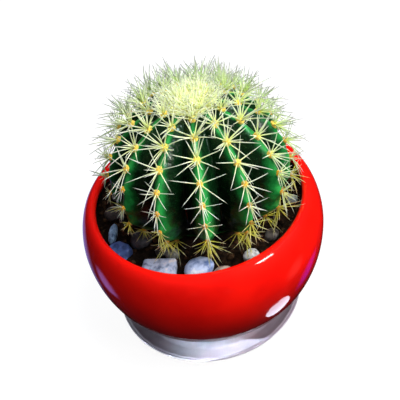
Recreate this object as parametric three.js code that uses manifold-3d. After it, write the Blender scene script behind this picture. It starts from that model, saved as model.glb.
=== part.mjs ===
// A round cactus with golden spines, in a red glazed bowl that stands on a white saucer.
// Millimetres, +Z up. The origin is on the surface that the saucer stands on, under the bowl's axis.
import * as THREE from "three";
import { mergeVertices } from "three/addons/utils/BufferGeometryUtils.js";
import Module from "manifold-3d";

const wasm = await Module();
wasm.setup();

// ---------------------------------------------------------------- driving dimensions

const gap = 0.3; // between pieces that rest on or in each other
const roundSteps = 40; // sides of the bowl, the soil and the saucer
const seed = 20413;

const saucer = {
  centre: [-2.7, -2.7],
  footRadius: 41,
  footBevel: [1.5, 0.5],
  floorRadius: 43,
  floorHeight: 2.6,
  rimRadius: 55.4,
  lipWidth: 2.6,
  lipThickness: 0.9,
  lipSlope: 0.6,
  wallBend: [0.55, 0.4], // where the inner wall bends, as shares of the way out and of the way up
  height: 7.5,
  thickness: 2,
};

const pot = {
  footRadius: 35.5,
  footWidth: 4,
  footHeight: 2.5,
  footTaper: 0.6,
  bellyRadius: 68,
  bellyHeight: 61,
  bellyPower: 2.03,
  bellyCore: 14.3,
  shoulderCore: 59.5,
  shoulderPower: 1.72,
  topHeight: 84,
  beadRadius: 2.7,
  beadTurn: 170, // degrees that the lip's rounding goes through
  lipOverhang: 1.5, // how far under the bead's centre the inner wall starts, in bead radii
  wall: 5,
  floorThickness: 4.7,
  drainRadius: 6,
  outlineSteps: 6, // faces up the outside, below the belly and again above it
  beadSteps: 4,
  cavitySteps: 5,
  cavityBend: 1.4, // brings the steps of the inside closer together towards the floor
};

const soil = {
  level: 72.5,
  mound: 2.6,
  moundRadius: [20, 46],
  levelEdge: [52, 60], // the crumbs die out between these distances from the middle
  waves: [0.5, 0.3],
  rings: 5,
  undersideSteps: 6,
};

const plant = {
  centre: [3.3, 0, 98],
  lean: [-6.8, 2.1], // degrees about X, then about Y
  ribs: 13,
  firstRib: -93.2, // degrees from +X
  crestRadius: 48,
  upperHeight: 44.7,
  lowerHeight: 26,
  power: 2.17,
  furrowDepth: 0.27,
  topFade: { from: 50, to: 88, share: 0.6 }, // latitudes over which the furrows grow shallow
  baseFade: { from: 45, to: 88, share: 0.8 },
  crestSoftness: 0.22, // how rounded a crest is, as a share of half a rib's width
  columnsPerRib: 4,
  rows: 16,
  neckRadius: [27, 23],
  neckSteps: 26,
  neckTop: -17,
  neckBottom: -38,
};

const areole = {
  spacing: 11,
  firstLatitude: 58, // of the areole numbered 0 on the first rib
  numbers: [-2, 6],
  lastLatitude: -60,
  chainSteps: 400,
  clearOfCrown: 2.2,
  clearOfSoil: 3,
  spiralSteps: 7, // each rib's areoles sit 7/13 of a spacing lower than its neighbour's
  stretch: 1.25, // the pad is longer along the rib than across it
  // Young clusters open less: the share of their spread that is left near the crown, and the
  // latitudes between which that comes in.
  youngSpread: 0.74,
  youngLatitude: [34, 62],
  // The newest spines, next to the crown, are still growing.
  newLength: 0.6,
  newLatitude: [54, 71],
  // The oldest spines, from the widest part down, are shorter.
  oldLength: 0.64,
  oldLatitude: [33, 12],
  // Old spines are shorter still on the side that gets less light. It comes in between two
  // cosines of the angle from that side's bearing.
  dimLength: 0.6,
  dimBearing: 185,
  dimWidth: [0.3, 0.9],
  // The pad's outline, as [radius, height] over the skin. Spines rise from its sloping collar.
  outline: [[0, -1.7], [1.7, 0.5], [0.8, 1.3], [0, 1.5]],
};

const spine = {
  rise: 0.8, // height over the skin that a spine points away from
  baseRadius: 0.55,
  clearance: 0.8,
  samples: 8, // points at which a spine is tested
  lifts: { step: 5, most: 150 }, // degrees by which a spine is lifted until it is clear
  swing: 12, // degrees that a turn varies by, in all
  open: 10, // degrees that a spread varies by, in all
  reach: [0.88, 1.12],
};

// Each spine of a cluster: the turn round the areole from straight down the rib, the angle away
// from the areole's own axis, and the length. The last one stands out of the middle.
const cluster = [
  { turn: 0, spread: 66, length: 20 },
  { turn: 51, spread: 62, length: 17 },
  { turn: 103, spread: 68, length: 16 },
  { turn: 154, spread: 58, length: 13 },
  { turn: 206, spread: 58, length: 13 },
  { turn: 257, spread: 68, length: 16 },
  { turn: 309, spread: 62, length: 17 },
  { turn: 20, spread: 30, length: 15 },
];

const crown = {
  radius: 13.5,
  rise: 2.4,
  dip: 1.2,
  dipWidth: 0.35, // share of the radius
  depth: 8, // how far its core reaches down before the skin cuts it off
  steps: 20,
  rings: 4,
  clearance: 0.5,
  spines: 66,
  lengths: [5.5, 11], // in the middle and at the edge, as are the tilts in degrees
  tilts: [5, 56],
  tiltBend: 1.4,
  tiltVary: 16,
  swing: 0.5,
  edge: 1.2, // the outermost spines stand this far inside the core's edge
  rootDepth: 1.4,
  reach: [0.85, 1.15],
};

// Loose stones: centre, half sizes, turn and tilt in degrees, corner power and colour. A low power
// is a rounded pebble, a high one a slab.
const stones = [
  { at: [-6, -45.6], half: [8, 6.2, 4.4], turn: 8, tilt: 4, colour: 0xb9c6e0, power: 2 },
  { at: [-26.2, -41.2], half: [9.4, 5.4, 3.4], turn: -12, tilt: 10, colour: 0xa9b0c0, power: 4 },
  { at: [-34.4, -18.2], half: [6.4, 5.8, 4], turn: 30, tilt: 0, colour: 0x4a4c50, power: 2.2 },
  { at: [-18.6, -33], half: [4.1, 3.2, 2.8], turn: -30, tilt: 8, colour: 0x77776f, power: 2.4 },
  { at: [-24.6, -29.2], half: [3, 2.6, 2.2], turn: 20, tilt: 0, colour: 0x3c3a38, power: 2.2 },
  { at: [-49.4, -10.8], half: [2.4, 7.2, 2.6], turn: -12, tilt: 0, colour: 0x71869c, power: 2.4 },
  { at: [-45.6, -23.6], half: [6.6, 4.6, 3.6], turn: -38, tilt: 12, colour: 0x46587f, power: 4 },
  { at: [-48.6, 5.4], half: [5.4, 4.6, 3.4], turn: 14, tilt: 0, colour: 0x57514d, power: 2.2 },
  { at: [21.6, -43.4], half: [4.7, 4, 3.2], turn: 24, tilt: 6, colour: 0xc9cbcc, power: 2.2 },
  { at: [5.8, -50.6], half: [4.8, 3.4, 2.6], turn: 6, tilt: 0, colour: 0xa3948a, power: 2.6 },
  { at: [34.6, -31.4], half: [4.4, 3.6, 2.8], turn: 48, tilt: 0, colour: 0x56504c, power: 2.4 },
  { at: [50.4, -9], half: [3.2, 2.8, 2.4], turn: 0, tilt: 0, colour: 0x8c9496, power: 2.2 },
];
const backStones = {
  count: 5,
  ring: [47, 52],
  arc: [20, 165],
  half: [4.6, 3.8, 3],
  grow: [0.7, 1.2],
  power: 2.3,
  colours: [0x57514d, 0x77776f, 0x8c9496],
};
const stoneUneven = 0.05; // share by which a stone's surface waves in and out
const stoneSunk = 0.25; // a stone's centre stands this share of its half height over the soil
const stoneReach = 1.12; // a stone's corners reach past its ellipsoid by about this factor

// ---------------------------------------------------------------- small helpers

const radians = THREE.MathUtils.degToRad;
const lerp = THREE.MathUtils.lerp;
const up = new THREE.Vector3(0, 0, 1);

// A seeded stream of numbers from 0 to 1.
function stream(start) {
  let state = start;
  return function () {
    state = (Math.imul(state, 1664525) + 1013904223) >>> 0;
    return state / 4294967296;
  };
}

// A closed geometry as a solid that can be joined and cut.
function toSolid(geometry) {
  geometry.deleteAttribute("normal");
  geometry.deleteAttribute("uv");
  const merged = mergeVertices(geometry, 1e-4);
  const mesh = new wasm.Mesh({
    numProp: 3,
    vertProperties: merged.attributes.position.array,
    triVerts: new Uint32Array(merged.index.array),
  });
  return new wasm.Manifold(mesh);
}

function toMesh(solid, name, colour, roughness) {
  const { vertProperties, triVerts } = solid.getMesh();
  const geometry = new THREE.BufferGeometry();
  geometry.setAttribute("position", new THREE.BufferAttribute(vertProperties, 3));
  geometry.setIndex(new THREE.BufferAttribute(triVerts, 1));
  geometry.computeVertexNormals();
  const material = new THREE.MeshStandardMaterial({ color: colour, roughness, metalness: 0 });
  const mesh = new THREE.Mesh(geometry, material);
  mesh.name = name;
  return mesh;
}

// Turns a profile of [radius, height] points round the Z axis.
function turned(profile, steps = roundSteps) {
  const points = profile.map(([radius, height]) => new THREE.Vector2(radius, height));
  return new THREE.LatheGeometry(points, steps).rotateX(Math.PI / 2);
}

// Moves every vertex of a geometry by a function that takes and returns a Vector3.
function reshape(geometry, move) {
  const position = geometry.attributes.position;
  const point = new THREE.Vector3();
  for (let i = 0; i < position.count; i += 1) {
    point.fromBufferAttribute(position, i);
    point.copy(move(point));
    position.setXYZ(i, point.x, point.y, point.z);
  }
  return geometry;
}

function signedPower(value, exponent) {
  return Math.sign(value) * Math.abs(value) ** exponent;
}

// ---------------------------------------------------------------- saucer

function makeSaucer() {
  const { footRadius, footBevel, floorRadius, floorHeight, wallBend } = saucer;
  const { rimRadius, lipWidth, lipThickness, lipSlope, height, thickness } = saucer;
  const lipInner = rimRadius - lipWidth;
  const profile = [
    [0, 0],
    [footRadius, 0],
    [footRadius + footBevel[0], footBevel[1]],
    [lipInner, height - thickness],
    [rimRadius, height - lipThickness],
    [rimRadius, height],
    [lipInner + lipSlope, height],
    [lerp(floorRadius, lipInner, wallBend[0]), lerp(floorHeight, height, wallBend[1])],
    [floorRadius, floorHeight],
    [0, floorHeight],
  ];
  const mesh = toMesh(toSolid(turned(profile)), "saucer", 0xe4e4ee, 0.18);
  mesh.position.set(saucer.centre[0], saucer.centre[1], 0);
  return mesh;
}

// ---------------------------------------------------------------- bowl

const potBase = saucer.floorHeight + gap;

// The bowl's outer radius at a height: a quarter of a superellipse below the belly, another above.
function potRadius(height) {
  const { bellyRadius, bellyHeight, bellyPower, bellyCore } = pot;
  const { shoulderCore, shoulderPower, topHeight } = pot;
  if (height < bellyHeight) {
    const drop = (bellyHeight - height) / bellyHeight;
    return bellyCore + (bellyRadius - bellyCore) * (1 - drop ** bellyPower) ** (1 / bellyPower);
  }
  const climb = Math.min(1, (height - bellyHeight) / (topHeight - bellyHeight));
  const reach = (1 - climb ** shoulderPower) ** (1 / shoulderPower);
  return shoulderCore + (bellyRadius - shoulderCore) * reach;
}

// The outside of the bowl from its belly up or down, at even turns of the superellipse.
function quarterOutline(coreRadius, rise, power, lastTurn, steps) {
  const points = [];
  for (let i = 0; i <= steps; i += 1) {
    const turn = (lastTurn * i) / steps;
    const reach = Math.cos(turn) ** (2 / power);
    const radius = coreRadius + (pot.bellyRadius - coreRadius) * reach;
    points.push([radius, pot.bellyHeight + rise * Math.sin(turn) ** (2 / power)]);
  }
  return points;
}

const beadCentre = [pot.shoulderCore, pot.topHeight - pot.beadRadius];

// The rounded lip, from its top over the inside to its underside.
function beadPoints(steps) {
  const points = [];
  for (let i = 1; i <= steps; i += 1) {
    const turn = Math.PI / 2 + (i / steps) * radians(pot.beadTurn);
    const radius = beadCentre[0] + pot.beadRadius * Math.cos(turn);
    points.push([radius, beadCentre[1] + pot.beadRadius * Math.sin(turn)]);
  }
  return points;
}

const cavityFloor = potBase + pot.footHeight + pot.floorThickness;
const cavityTop = beadCentre[1] - pot.lipOverhang * pot.beadRadius;

// The inside of the wall, from the floor up to the underside of the lip.
function cavityPoints(steps) {
  const points = [];
  for (let i = 0; i <= steps; i += 1) {
    const height = lerp(cavityFloor, cavityTop, (i / steps) ** pot.cavityBend);
    points.push([potRadius(height) - pot.wall, height]);
  }
  return points;
}

const cavity = cavityPoints(pot.cavitySteps);

function makePot() {
  const footTop = potBase + pot.footHeight;
  const footInner = pot.footRadius - pot.footWidth;
  const { bellyHeight, bellyPower, bellyCore, shoulderCore, shoulderPower, topHeight } = pot;
  const footTurn = Math.asin((1 - footTop / bellyHeight) ** (bellyPower / 2));
  const lower = quarterOutline(bellyCore, -bellyHeight, bellyPower, footTurn, pot.outlineSteps);
  const shoulder = topHeight - bellyHeight;
  const upper = quarterOutline(shoulderCore, shoulder, shoulderPower, Math.PI / 2, pot.outlineSteps);
  const outside = [...lower.toReversed(), ...upper.slice(1)];
  const profile = [
    [pot.drainRadius, footTop],
    [footInner - pot.footTaper, footTop],
    [footInner, potBase],
    [pot.footRadius, potBase],
    ...outside,
    ...beadPoints(pot.beadSteps),
    ...cavity.toReversed(),
    [pot.drainRadius, cavityFloor],
    [pot.drainRadius, footTop],
  ];
  return toMesh(toSolid(turned(profile)), "pot", 0xd8120c, 0.12);
}

// ---------------------------------------------------------------- shape of the plant

const plantCentre = new THREE.Vector3(...plant.centre);
const plantTurn = new THREE.Matrix4()
  .makeRotationY(radians(plant.lean[1]))
  .multiply(new THREE.Matrix4().makeRotationX(radians(plant.lean[0])));
const plantFrame = plantTurn.clone().setPosition(plantCentre);

// The smooth outline along a rib's crest, as [radius, height] at a latitude.
function crestOutline(latitude) {
  const tall = latitude > 0 ? plant.upperHeight : plant.lowerHeight;
  const power = 2 / plant.power;
  const radius = plant.crestRadius * signedPower(Math.cos(latitude), power);
  return [radius, tall * signedPower(Math.sin(latitude), power)];
}

// From 0 on a crest to 1 in a furrow, with a crest that is narrow but not sharp.
function furrowShape(longitude) {
  const turns = (longitude - radians(plant.firstRib)) / ((2 * Math.PI) / plant.ribs);
  const away = Math.abs(turns - Math.round(turns)) * 2;
  const soft = plant.crestSoftness;
  return (Math.hypot(away, soft) - soft) / (Math.hypot(1, soft) - soft);
}

// How deep the furrows are at a latitude: they run out at the growing point and at the base.
function furrowShare(latitude) {
  const { topFade, baseFade } = plant;
  const towardsTop = THREE.MathUtils.smoothstep(latitude, radians(topFade.from), radians(topFade.to));
  const towardsBase = THREE.MathUtils.smoothstep(-latitude, radians(baseFade.from), radians(baseFade.to));
  return 1 - topFade.share * towardsTop - baseFade.share * towardsBase;
}

// A point of the ribbed skin in the plant's own frame, grown outward by a margin.
function skinPoint(latitude, longitude, margin = 0) {
  const [radius, height] = crestOutline(latitude);
  const cut = 1 - plant.furrowDepth * furrowShape(longitude) * furrowShare(latitude);
  const point = new THREE.Vector3(
    radius * cut * Math.cos(longitude),
    radius * cut * Math.sin(longitude),
    height,
  );
  return point.setLength(point.length() + margin);
}

// The whole ribbed globe, with a crest on every fourth column.
function globe(margin) {
  const columns = plant.ribs * plant.columnsPerRib;
  const geometry = new THREE.SphereGeometry(1, columns, plant.rows).rotateX(Math.PI / 2);
  return reshape(geometry, (point) => {
    const latitude = Math.asin(THREE.MathUtils.clamp(point.z, -1, 1));
    const longitude = Math.atan2(point.y, point.x) + radians(plant.firstRib);
    return skinPoint(latitude, longitude, margin);
  });
}

// ---------------------------------------------------------------- areoles

// The crest as a fine chain of points with the length along it, from the top down.
function crestChain() {
  const chain = [];
  let along = 0;
  for (let i = 0; i <= areole.chainSteps; i += 1) {
    const latitude = lerp(Math.PI / 2, radians(areole.lastLatitude), i / areole.chainSteps);
    const [radius, height] = crestOutline(latitude);
    const last = chain[chain.length - 1];
    if (last) along += Math.hypot(radius - last.radius, height - last.height);
    chain.push({ latitude, radius, height, along });
  }
  return chain;
}

// Every areole: its place, its own axis out of the skin, the way down the rib and the way across.
function areoles() {
  const chain = crestChain();
  const firstLatitude = radians(areole.firstLatitude);
  const first = chain.find((link) => link.latitude <= firstLatitude).along;
  const dimSide = radians(areole.dimBearing);
  const found = [];
  for (let rib = 0; rib < plant.ribs; rib += 1) {
    const phase = ((rib * areole.spiralSteps) % plant.ribs) / plant.ribs;
    const longitude = radians(plant.firstRib) + (rib * 2 * Math.PI) / plant.ribs;
    const outward = new THREE.Vector3(Math.cos(longitude), Math.sin(longitude), 0);
    const dimness = THREE.MathUtils.smoothstep(Math.cos(longitude - dimSide), ...areole.dimWidth);
    for (let number = areole.numbers[0]; number <= areole.numbers[1]; number += 1) {
      const along = first + (number + phase) * areole.spacing;
      const index = chain.findIndex((link) => link.along >= along);
      const here = chain[index];
      if (here.radius < crown.radius + areole.clearOfCrown) continue;
      const before = chain[index - 1];
      const run = new THREE.Vector2(here.radius - before.radius, here.height - before.height);
      run.normalize();
      const down = outward.clone().multiplyScalar(run.x).addScaledVector(up, run.y);
      const axis = outward.clone().multiplyScalar(-run.y).addScaledVector(up, run.x);
      const across = new THREE.Vector3().crossVectors(axis, down);
      const point = outward.clone().multiplyScalar(here.radius).addScaledVector(up, here.height);
      const youth = THREE.MathUtils.smoothstep(here.latitude, ...areole.youngLatitude.map(radians));
      const fresh = THREE.MathUtils.smoothstep(here.latitude, ...areole.newLatitude.map(radians));
      const [younger, older] = areole.oldLatitude.map(radians);
      const age = THREE.MathUtils.smoothstep(-here.latitude, -younger, -older);
      const opening = lerp(1, areole.youngSpread, youth);
      const aged = lerp(1, areole.oldLength, age) * lerp(1, areole.dimLength, age * dimness);
      const size = lerp(1, areole.newLength, fresh) * aged;
      found.push({ point, axis, down, across, opening, size });
    }
  }
  return found;
}

// ---------------------------------------------------------------- spines

// Replaces the face of a geometry that lies nearest a direction with three faces up to a tip.
function raiseTip(faces, direction, tip) {
  const free = faces.filter((face) => !face.raised);
  const best = free.reduce((a, b) => (b.bearing.dot(direction) > a.bearing.dot(direction) ? b : a));
  best.raised = true;
  const [a, b, c] = best.corners;
  best.corners = [a, b, tip, b, c, tip, c, a, tip];
}

// The faces of a closed geometry, each with its corners and its bearing from the origin.
function facesOf(geometry) {
  const position = geometry.toNonIndexed().attributes.position;
  const faces = [];
  for (let i = 0; i < position.count; i += 3) {
    const corners = [0, 1, 2].map((k) => new THREE.Vector3().fromBufferAttribute(position, i + k));
    const bearing = new THREE.Vector3().add(corners[0]).add(corners[1]).add(corners[2]).normalize();
    const [a, b, c] = corners;
    const flat = a.distanceTo(b) * b.distanceTo(c) * c.distanceTo(a) < 1e-6;
    if (!flat) faces.push({ corners, bearing, raised: false });
  }
  return faces;
}

// One areole in its own frame (X down the rib, Y across, Z out of the skin): the raised pad of
// wool with a three-sided spine on each chosen face of it.
function spinyPad(tips) {
  const pad = turned(areole.outline, cluster.length - 1).scale(areole.stretch, 1, 1);
  const faces = facesOf(pad);
  for (const { direction, tip } of tips) raiseTip(faces, direction, tip);
  return new THREE.BufferGeometry().setFromPoints(faces.flatMap((face) => face.corners));
}

function spineDirection(turn, spread) {
  const side = Math.sin(spread);
  return new THREE.Vector3(side * Math.cos(turn), side * Math.sin(turn), Math.cos(spread));
}

// True where a point of the object keeps its distance to the soil, the stones and the bowl.
function isFree(point, stoneList) {
  const reach = Math.hypot(point.x, point.y);
  const overLip = point.z > pot.topHeight + spine.clearance;
  const insideLip = reach < beadCentre[0] - pot.beadRadius - spine.clearance;
  if (!overLip && !insideLip) return false;
  if (point.z < soilHeight(point.x, point.y) + spine.clearance) return false;
  return stoneList.every((stone) => stoneDistance(stone, point) > spine.clearance);
}

// True if a spine from an areole's pad touches neither the crown nor what lies round the plant.
function spineIsFree(frame, direction, length, stoneList) {
  for (let i = 2; i <= spine.samples; i += 1) {
    const point = direction.clone().multiplyScalar((length * i) / spine.samples);
    point.z += spine.rise;
    point.applyMatrix4(frame);
    if (nearCrown(point, 1 - i / spine.samples)) return false;
    if (!isFree(point.applyMatrix4(plantFrame), stoneList)) return false;
  }
  return true;
}

// The direction of a spine, lifted away from the skin until its whole length is free.
function bentClear(frame, turn, spread, length, stoneList) {
  for (let lift = 0; lift <= spine.lifts.most; lift += spine.lifts.step) {
    const direction = spineDirection(turn, radians(spread - lift));
    if (spineIsFree(frame, direction, length, stoneList)) return direction;
  }
  return null;
}

// ---------------------------------------------------------------- crown

// The crown's dome over the growing point, as a height at a distance from the plant's axis.
function crownHeight(radius) {
  const share = Math.min(1, radius / crown.radius);
  const dome = crown.rise * Math.sqrt(Math.max(0, 1 - share ** 2));
  const dimple = crown.dip * Math.exp(-((share / crown.dipWidth) ** 2));
  const skin = (1 - (radius / plant.crestRadius) ** plant.power) ** (1 / plant.power);
  return plant.upperHeight * skin + dome - dimple;
}

// The crown's spines stand round the growing point in a spiral, upright in the middle and spread
// outward at the edge.
function crownSpines() {
  const draw = stream(seed + 7);
  const golden = Math.PI * (3 - Math.sqrt(5));
  const found = [];
  for (let i = 0; i < crown.spines; i += 1) {
    const share = Math.sqrt((i + 0.5) / crown.spines);
    const longitude = i * golden;
    const radius = share * (crown.radius - crown.edge);
    const out = new THREE.Vector3(Math.cos(longitude), Math.sin(longitude), 0);
    const leaning = lerp(...crown.tilts, share ** crown.tiltBend);
    const tilt = radians(leaning + (draw() - 0.5) * crown.tiltVary);
    const swing = (draw() - 0.5) * crown.swing;
    const direction = out.clone().applyAxisAngle(up, swing).multiplyScalar(Math.sin(tilt));
    direction.addScaledVector(up, Math.cos(tilt));
    const root = out.clone().multiplyScalar(radius);
    root.z = crownHeight(radius) - crown.rootDepth;
    const length = lerp(...crown.lengths, share) * lerp(...crown.reach, draw());
    found.push({ root, direction, length });
  }
  return found;
}

const crownNeedles = crownSpines();

// A three-sided spine from a root point along a direction.
function needle({ root, direction, length }) {
  const turn = new THREE.Quaternion().setFromUnitVectors(up, direction);
  return new THREE.ConeGeometry(spine.baseRadius, length, 3, 1)
    .rotateX(Math.PI / 2)
    .translate(0, 0, length / 2)
    .applyQuaternion(turn)
    .translate(root.x, root.y, root.z);
}

// True where a spine of the body, as thick as a share of its base, would come near the crown.
function nearCrown(point, share) {
  const margin = crown.clearance + spine.baseRadius * share;
  const radius = Math.hypot(point.x, point.y);
  const inside = radius < crown.radius + margin && point.z > 0;
  if (inside && point.z < crownHeight(Math.min(radius, crown.radius)) + margin) return true;
  return crownNeedles.some(({ root, direction, length }) => {
    const along = THREE.MathUtils.clamp(point.clone().sub(root).dot(direction), 0, length);
    const nearest = root.clone().addScaledVector(direction, along);
    const thickness = spine.baseRadius * (1 - along / length);
    return nearest.distanceTo(point) < thickness + margin;
  });
}

function makeCrown() {
  const bottom = plant.upperHeight - crown.depth;
  const profile = [[0, bottom], [crown.radius, bottom]];
  for (let i = crown.rings; i >= 0; i -= 1) {
    const radius = (crown.radius * i) / crown.rings;
    profile.push([radius, crownHeight(radius)]);
  }
  const pieces = [turned(profile, crown.steps), ...crownNeedles.map(needle)];
  const grown = wasm.Manifold.union(pieces.map(toSolid));
  const solid = grown.subtract(toSolid(globe(crown.clearance)));
  const mesh = toMesh(solid, "crown", 0xe6e68c, 0.85);
  mesh.applyMatrix4(plantFrame);
  return mesh;
}

// ---------------------------------------------------------------- cactus

// The areole at a place on a rib, with its spines bent clear of what is round them.
function makeAreole({ point, axis, down, across, opening, size }, stoneList, draw) {
  const frame = new THREE.Matrix4().makeBasis(down, across, axis).setPosition(point);
  const tips = [];
  for (const { turn, spread, length } of cluster) {
    const swung = radians(turn + (draw() - 0.5) * spine.swing);
    const opened = spread * opening + (draw() - 0.5) * spine.open;
    const reach = length * size * lerp(...spine.reach, draw());
    const direction = bentClear(frame, swung, opened, reach, stoneList);
    if (!direction) continue;
    const tip = direction.clone().multiplyScalar(reach);
    tip.z += spine.rise;
    tips.push({ direction, tip });
  }
  return spinyPad(tips).applyMatrix4(frame);
}

// The neck that the plant roots with, a plain stem under the globe.
function neck(margin) {
  const [topRadius, bottomRadius] = plant.neckRadius;
  const height = plant.neckTop - plant.neckBottom + margin;
  return new THREE.CylinderGeometry(topRadius + margin, bottomRadius + margin, height, plant.neckSteps)
    .rotateX(Math.PI / 2)
    .translate(0, 0, plant.neckTop - height / 2);
}

function isOverSoil({ point }) {
  const placed = point.clone().applyMatrix4(plantFrame);
  return placed.z > soilHeight(placed.x, placed.y) + areole.clearOfSoil;
}

function makeCactus(stoneList) {
  const draw = stream(seed);
  const places = areoles().filter(isOverSoil);
  const clusters = places.map((place) => makeAreole(place, stoneList, draw));
  const pieces = [globe(0), neck(0), ...clusters];
  const mesh = toMesh(wasm.Manifold.union(pieces.map(toSolid)), "cactus", 0x1f5a2a, 0.5);
  mesh.applyMatrix4(plantFrame);
  return mesh;
}

// ---------------------------------------------------------------- soil

// The soil's surface: a low mound round the plant, with crumbs that die out at the wall.
function soilHeight(x, y) {
  const fromPlant = Math.hypot(x - plant.centre[0], y - plant.centre[1]);
  const mound = soil.mound * (1 - THREE.MathUtils.smoothstep(fromPlant, ...soil.moundRadius));
  const edge = THREE.MathUtils.smoothstep(Math.hypot(x, y), ...soil.levelEdge);
  const wide = soil.waves[0] * Math.sin(x * 0.31 + 1.3) * Math.cos(y * 0.37);
  const narrow = soil.waves[1] * Math.sin(x * 0.71 - y * 0.53);
  return soil.level + mound + (wide + narrow) * (1 - edge);
}

// The side of the soil, which follows the inside of the bowl up to the soil's level.
function soilSide() {
  const above = cavity.findIndex(([, height]) => height > soil.level);
  const [lowRadius, lowHeight] = cavity[above - 1];
  const [highRadius, highHeight] = cavity[above];
  const share = (soil.level - lowHeight) / (highHeight - lowHeight);
  const side = cavity.slice(0, above).map(([radius, height]) => [radius - gap, height]);
  side[0] = [side[0][0] - gap, cavityFloor + gap];
  return [...side, [lerp(lowRadius, highRadius, share) - gap, soil.level]];
}

function makeSoil(stoneList) {
  const side = soilSide();
  const rimRadius = side[side.length - 1][0];
  const profile = [[0, cavityFloor + gap], ...side];
  for (let i = soil.rings - 1; i >= 0; i -= 1) profile.push([(rimRadius * i) / soil.rings, soil.level]);
  const body = reshape(turned(profile), (point) => {
    if (point.z > soil.level - 0.01) point.z = soilHeight(point.x, point.y);
    return point;
  });
  const neckHole = neck(gap).applyMatrix4(plantFrame);
  const sockets = stoneList.map((stone) => stoneGeometry(stone, gap));
  const taken = wasm.Manifold.union([neckHole, underside(), ...sockets].map(toSolid));
  return toMesh(toSolid(body).subtract(taken), "soil", 0x241b14, 0.95);
}

// The plant's smooth outline round its crests, grown by the gap, which the mound is hollowed to.
function underside() {
  const profile = [[0, -plant.lowerHeight - gap]];
  for (let i = 1; i < soil.undersideSteps; i += 1) {
    const [radius, height] = crestOutline(radians(lerp(-90, 0, i / soil.undersideSteps)));
    profile.push([radius + gap, height - gap]);
  }
  profile.push([plant.crestRadius + gap, 0]);
  profile.push([0, 0]);
  return turned(profile, 2 * plant.ribs).applyMatrix4(plantFrame);
}

// ---------------------------------------------------------------- stones

// A stone's surface: a rounded box whose corners soften with a lower power, a little uneven.
function stoneGeometry(stone, margin) {
  const [halfX, halfY, halfZ] = stone.half;
  const geometry = new THREE.IcosahedronGeometry(1, 1);
  reshape(geometry, (point) => {
    const total = Math.abs(point.x) ** stone.power + Math.abs(point.y) ** stone.power
      + Math.abs(point.z) ** stone.power;
    const wave = Math.sin(3 * point.x + stone.at[0]) * Math.cos(4 * point.y + stone.at[1]);
    const scale = total ** (-1 / stone.power) * (1 + stoneUneven * wave);
    point.set(point.x * scale * halfX, point.y * scale * halfY, point.z * scale * halfZ);
    return point.setLength(point.length() + margin);
  });
  return geometry.applyMatrix4(stoneFrame(stone));
}

function stoneFrame(stone) {
  const [x, y] = stone.at;
  const lift = stone.half[2] * stoneSunk;
  return new THREE.Matrix4()
    .makeRotationZ(radians(stone.turn))
    .multiply(new THREE.Matrix4().makeRotationX(radians(stone.tilt)))
    .setPosition(x, y, soilHeight(x, y) + lift);
}

// Roughly how far a point is from a stone, from the stone's ellipsoid.
function stoneDistance(stone, point) {
  const local = point.clone().applyMatrix4(stoneFrame(stone).invert());
  const [halfX, halfY, halfZ] = stone.half;
  const share = Math.hypot(local.x / halfX, local.y / halfY, local.z / halfZ) / stoneReach;
  return (share - 1) * Math.min(halfX, halfY, halfZ);
}

// The stones that are seen, and a few more behind the plant.
function allStones() {
  const draw = stream(seed + 3);
  const list = [...stones];
  for (let i = 0; i < backStones.count; i += 1) {
    const bearing = radians(lerp(...backStones.arc, (i + lerp(0.2, 0.8, draw())) / backStones.count));
    const ring = lerp(...backStones.ring, draw());
    list.push({
      at: [ring * Math.cos(bearing), ring * Math.sin(bearing)],
      half: backStones.half.map((size) => size * lerp(...backStones.grow, draw())),
      turn: 180 * draw(),
      tilt: 0,
      colour: backStones.colours[i % backStones.colours.length],
      power: backStones.power,
    });
  }
  return list;
}

// ---------------------------------------------------------------- the whole object

const object = new THREE.Group();
const stoneList = allStones();
object.add(makeSaucer());
object.add(makePot());
object.add(makeSoil(stoneList));
stoneList.forEach((stone, index) => {
  const name = "pebble_" + String(index + 1).padStart(2, "0");
  object.add(toMesh(toSolid(stoneGeometry(stone, 0)), name, stone.colour, 0.45));
});
object.add(makeCactus(stoneList));
object.add(makeCrown());

export default object;
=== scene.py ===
# Potted round cactus: a ribbed globe with pale spines, in a red glazed bowl on a white saucer.
import math
import random

import bmesh
import bpy
import numpy as np
from mathutils import Matrix, Vector, noise
from mathutils.bvhtree import BVHTree


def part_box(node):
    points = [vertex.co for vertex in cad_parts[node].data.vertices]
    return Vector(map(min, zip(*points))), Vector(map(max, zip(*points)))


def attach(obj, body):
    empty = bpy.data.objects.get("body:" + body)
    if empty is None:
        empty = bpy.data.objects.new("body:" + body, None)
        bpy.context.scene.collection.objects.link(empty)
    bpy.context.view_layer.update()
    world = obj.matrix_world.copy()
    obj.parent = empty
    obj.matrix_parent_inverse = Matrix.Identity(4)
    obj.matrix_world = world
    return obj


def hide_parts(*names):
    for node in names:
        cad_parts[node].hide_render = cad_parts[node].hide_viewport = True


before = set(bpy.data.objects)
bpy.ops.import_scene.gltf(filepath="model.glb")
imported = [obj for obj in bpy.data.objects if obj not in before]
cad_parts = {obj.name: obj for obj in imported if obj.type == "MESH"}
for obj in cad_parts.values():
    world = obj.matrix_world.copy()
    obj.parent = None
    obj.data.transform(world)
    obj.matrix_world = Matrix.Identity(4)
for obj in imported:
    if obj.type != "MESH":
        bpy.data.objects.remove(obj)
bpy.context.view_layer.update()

# lengths below are in millimetres, and newPiece turns them into metres
mm = 0.001
draw = random.Random(4107)

# small helpers


def linear(hexColour):
    parts = [int(hexColour[i:i + 2], 16) / 255 for i in (1, 3, 5)]
    return [v / 12.92 if v <= 0.04045 else ((v + 0.055) / 1.055) ** 2.4 for v in parts] + [1.0]


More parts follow.
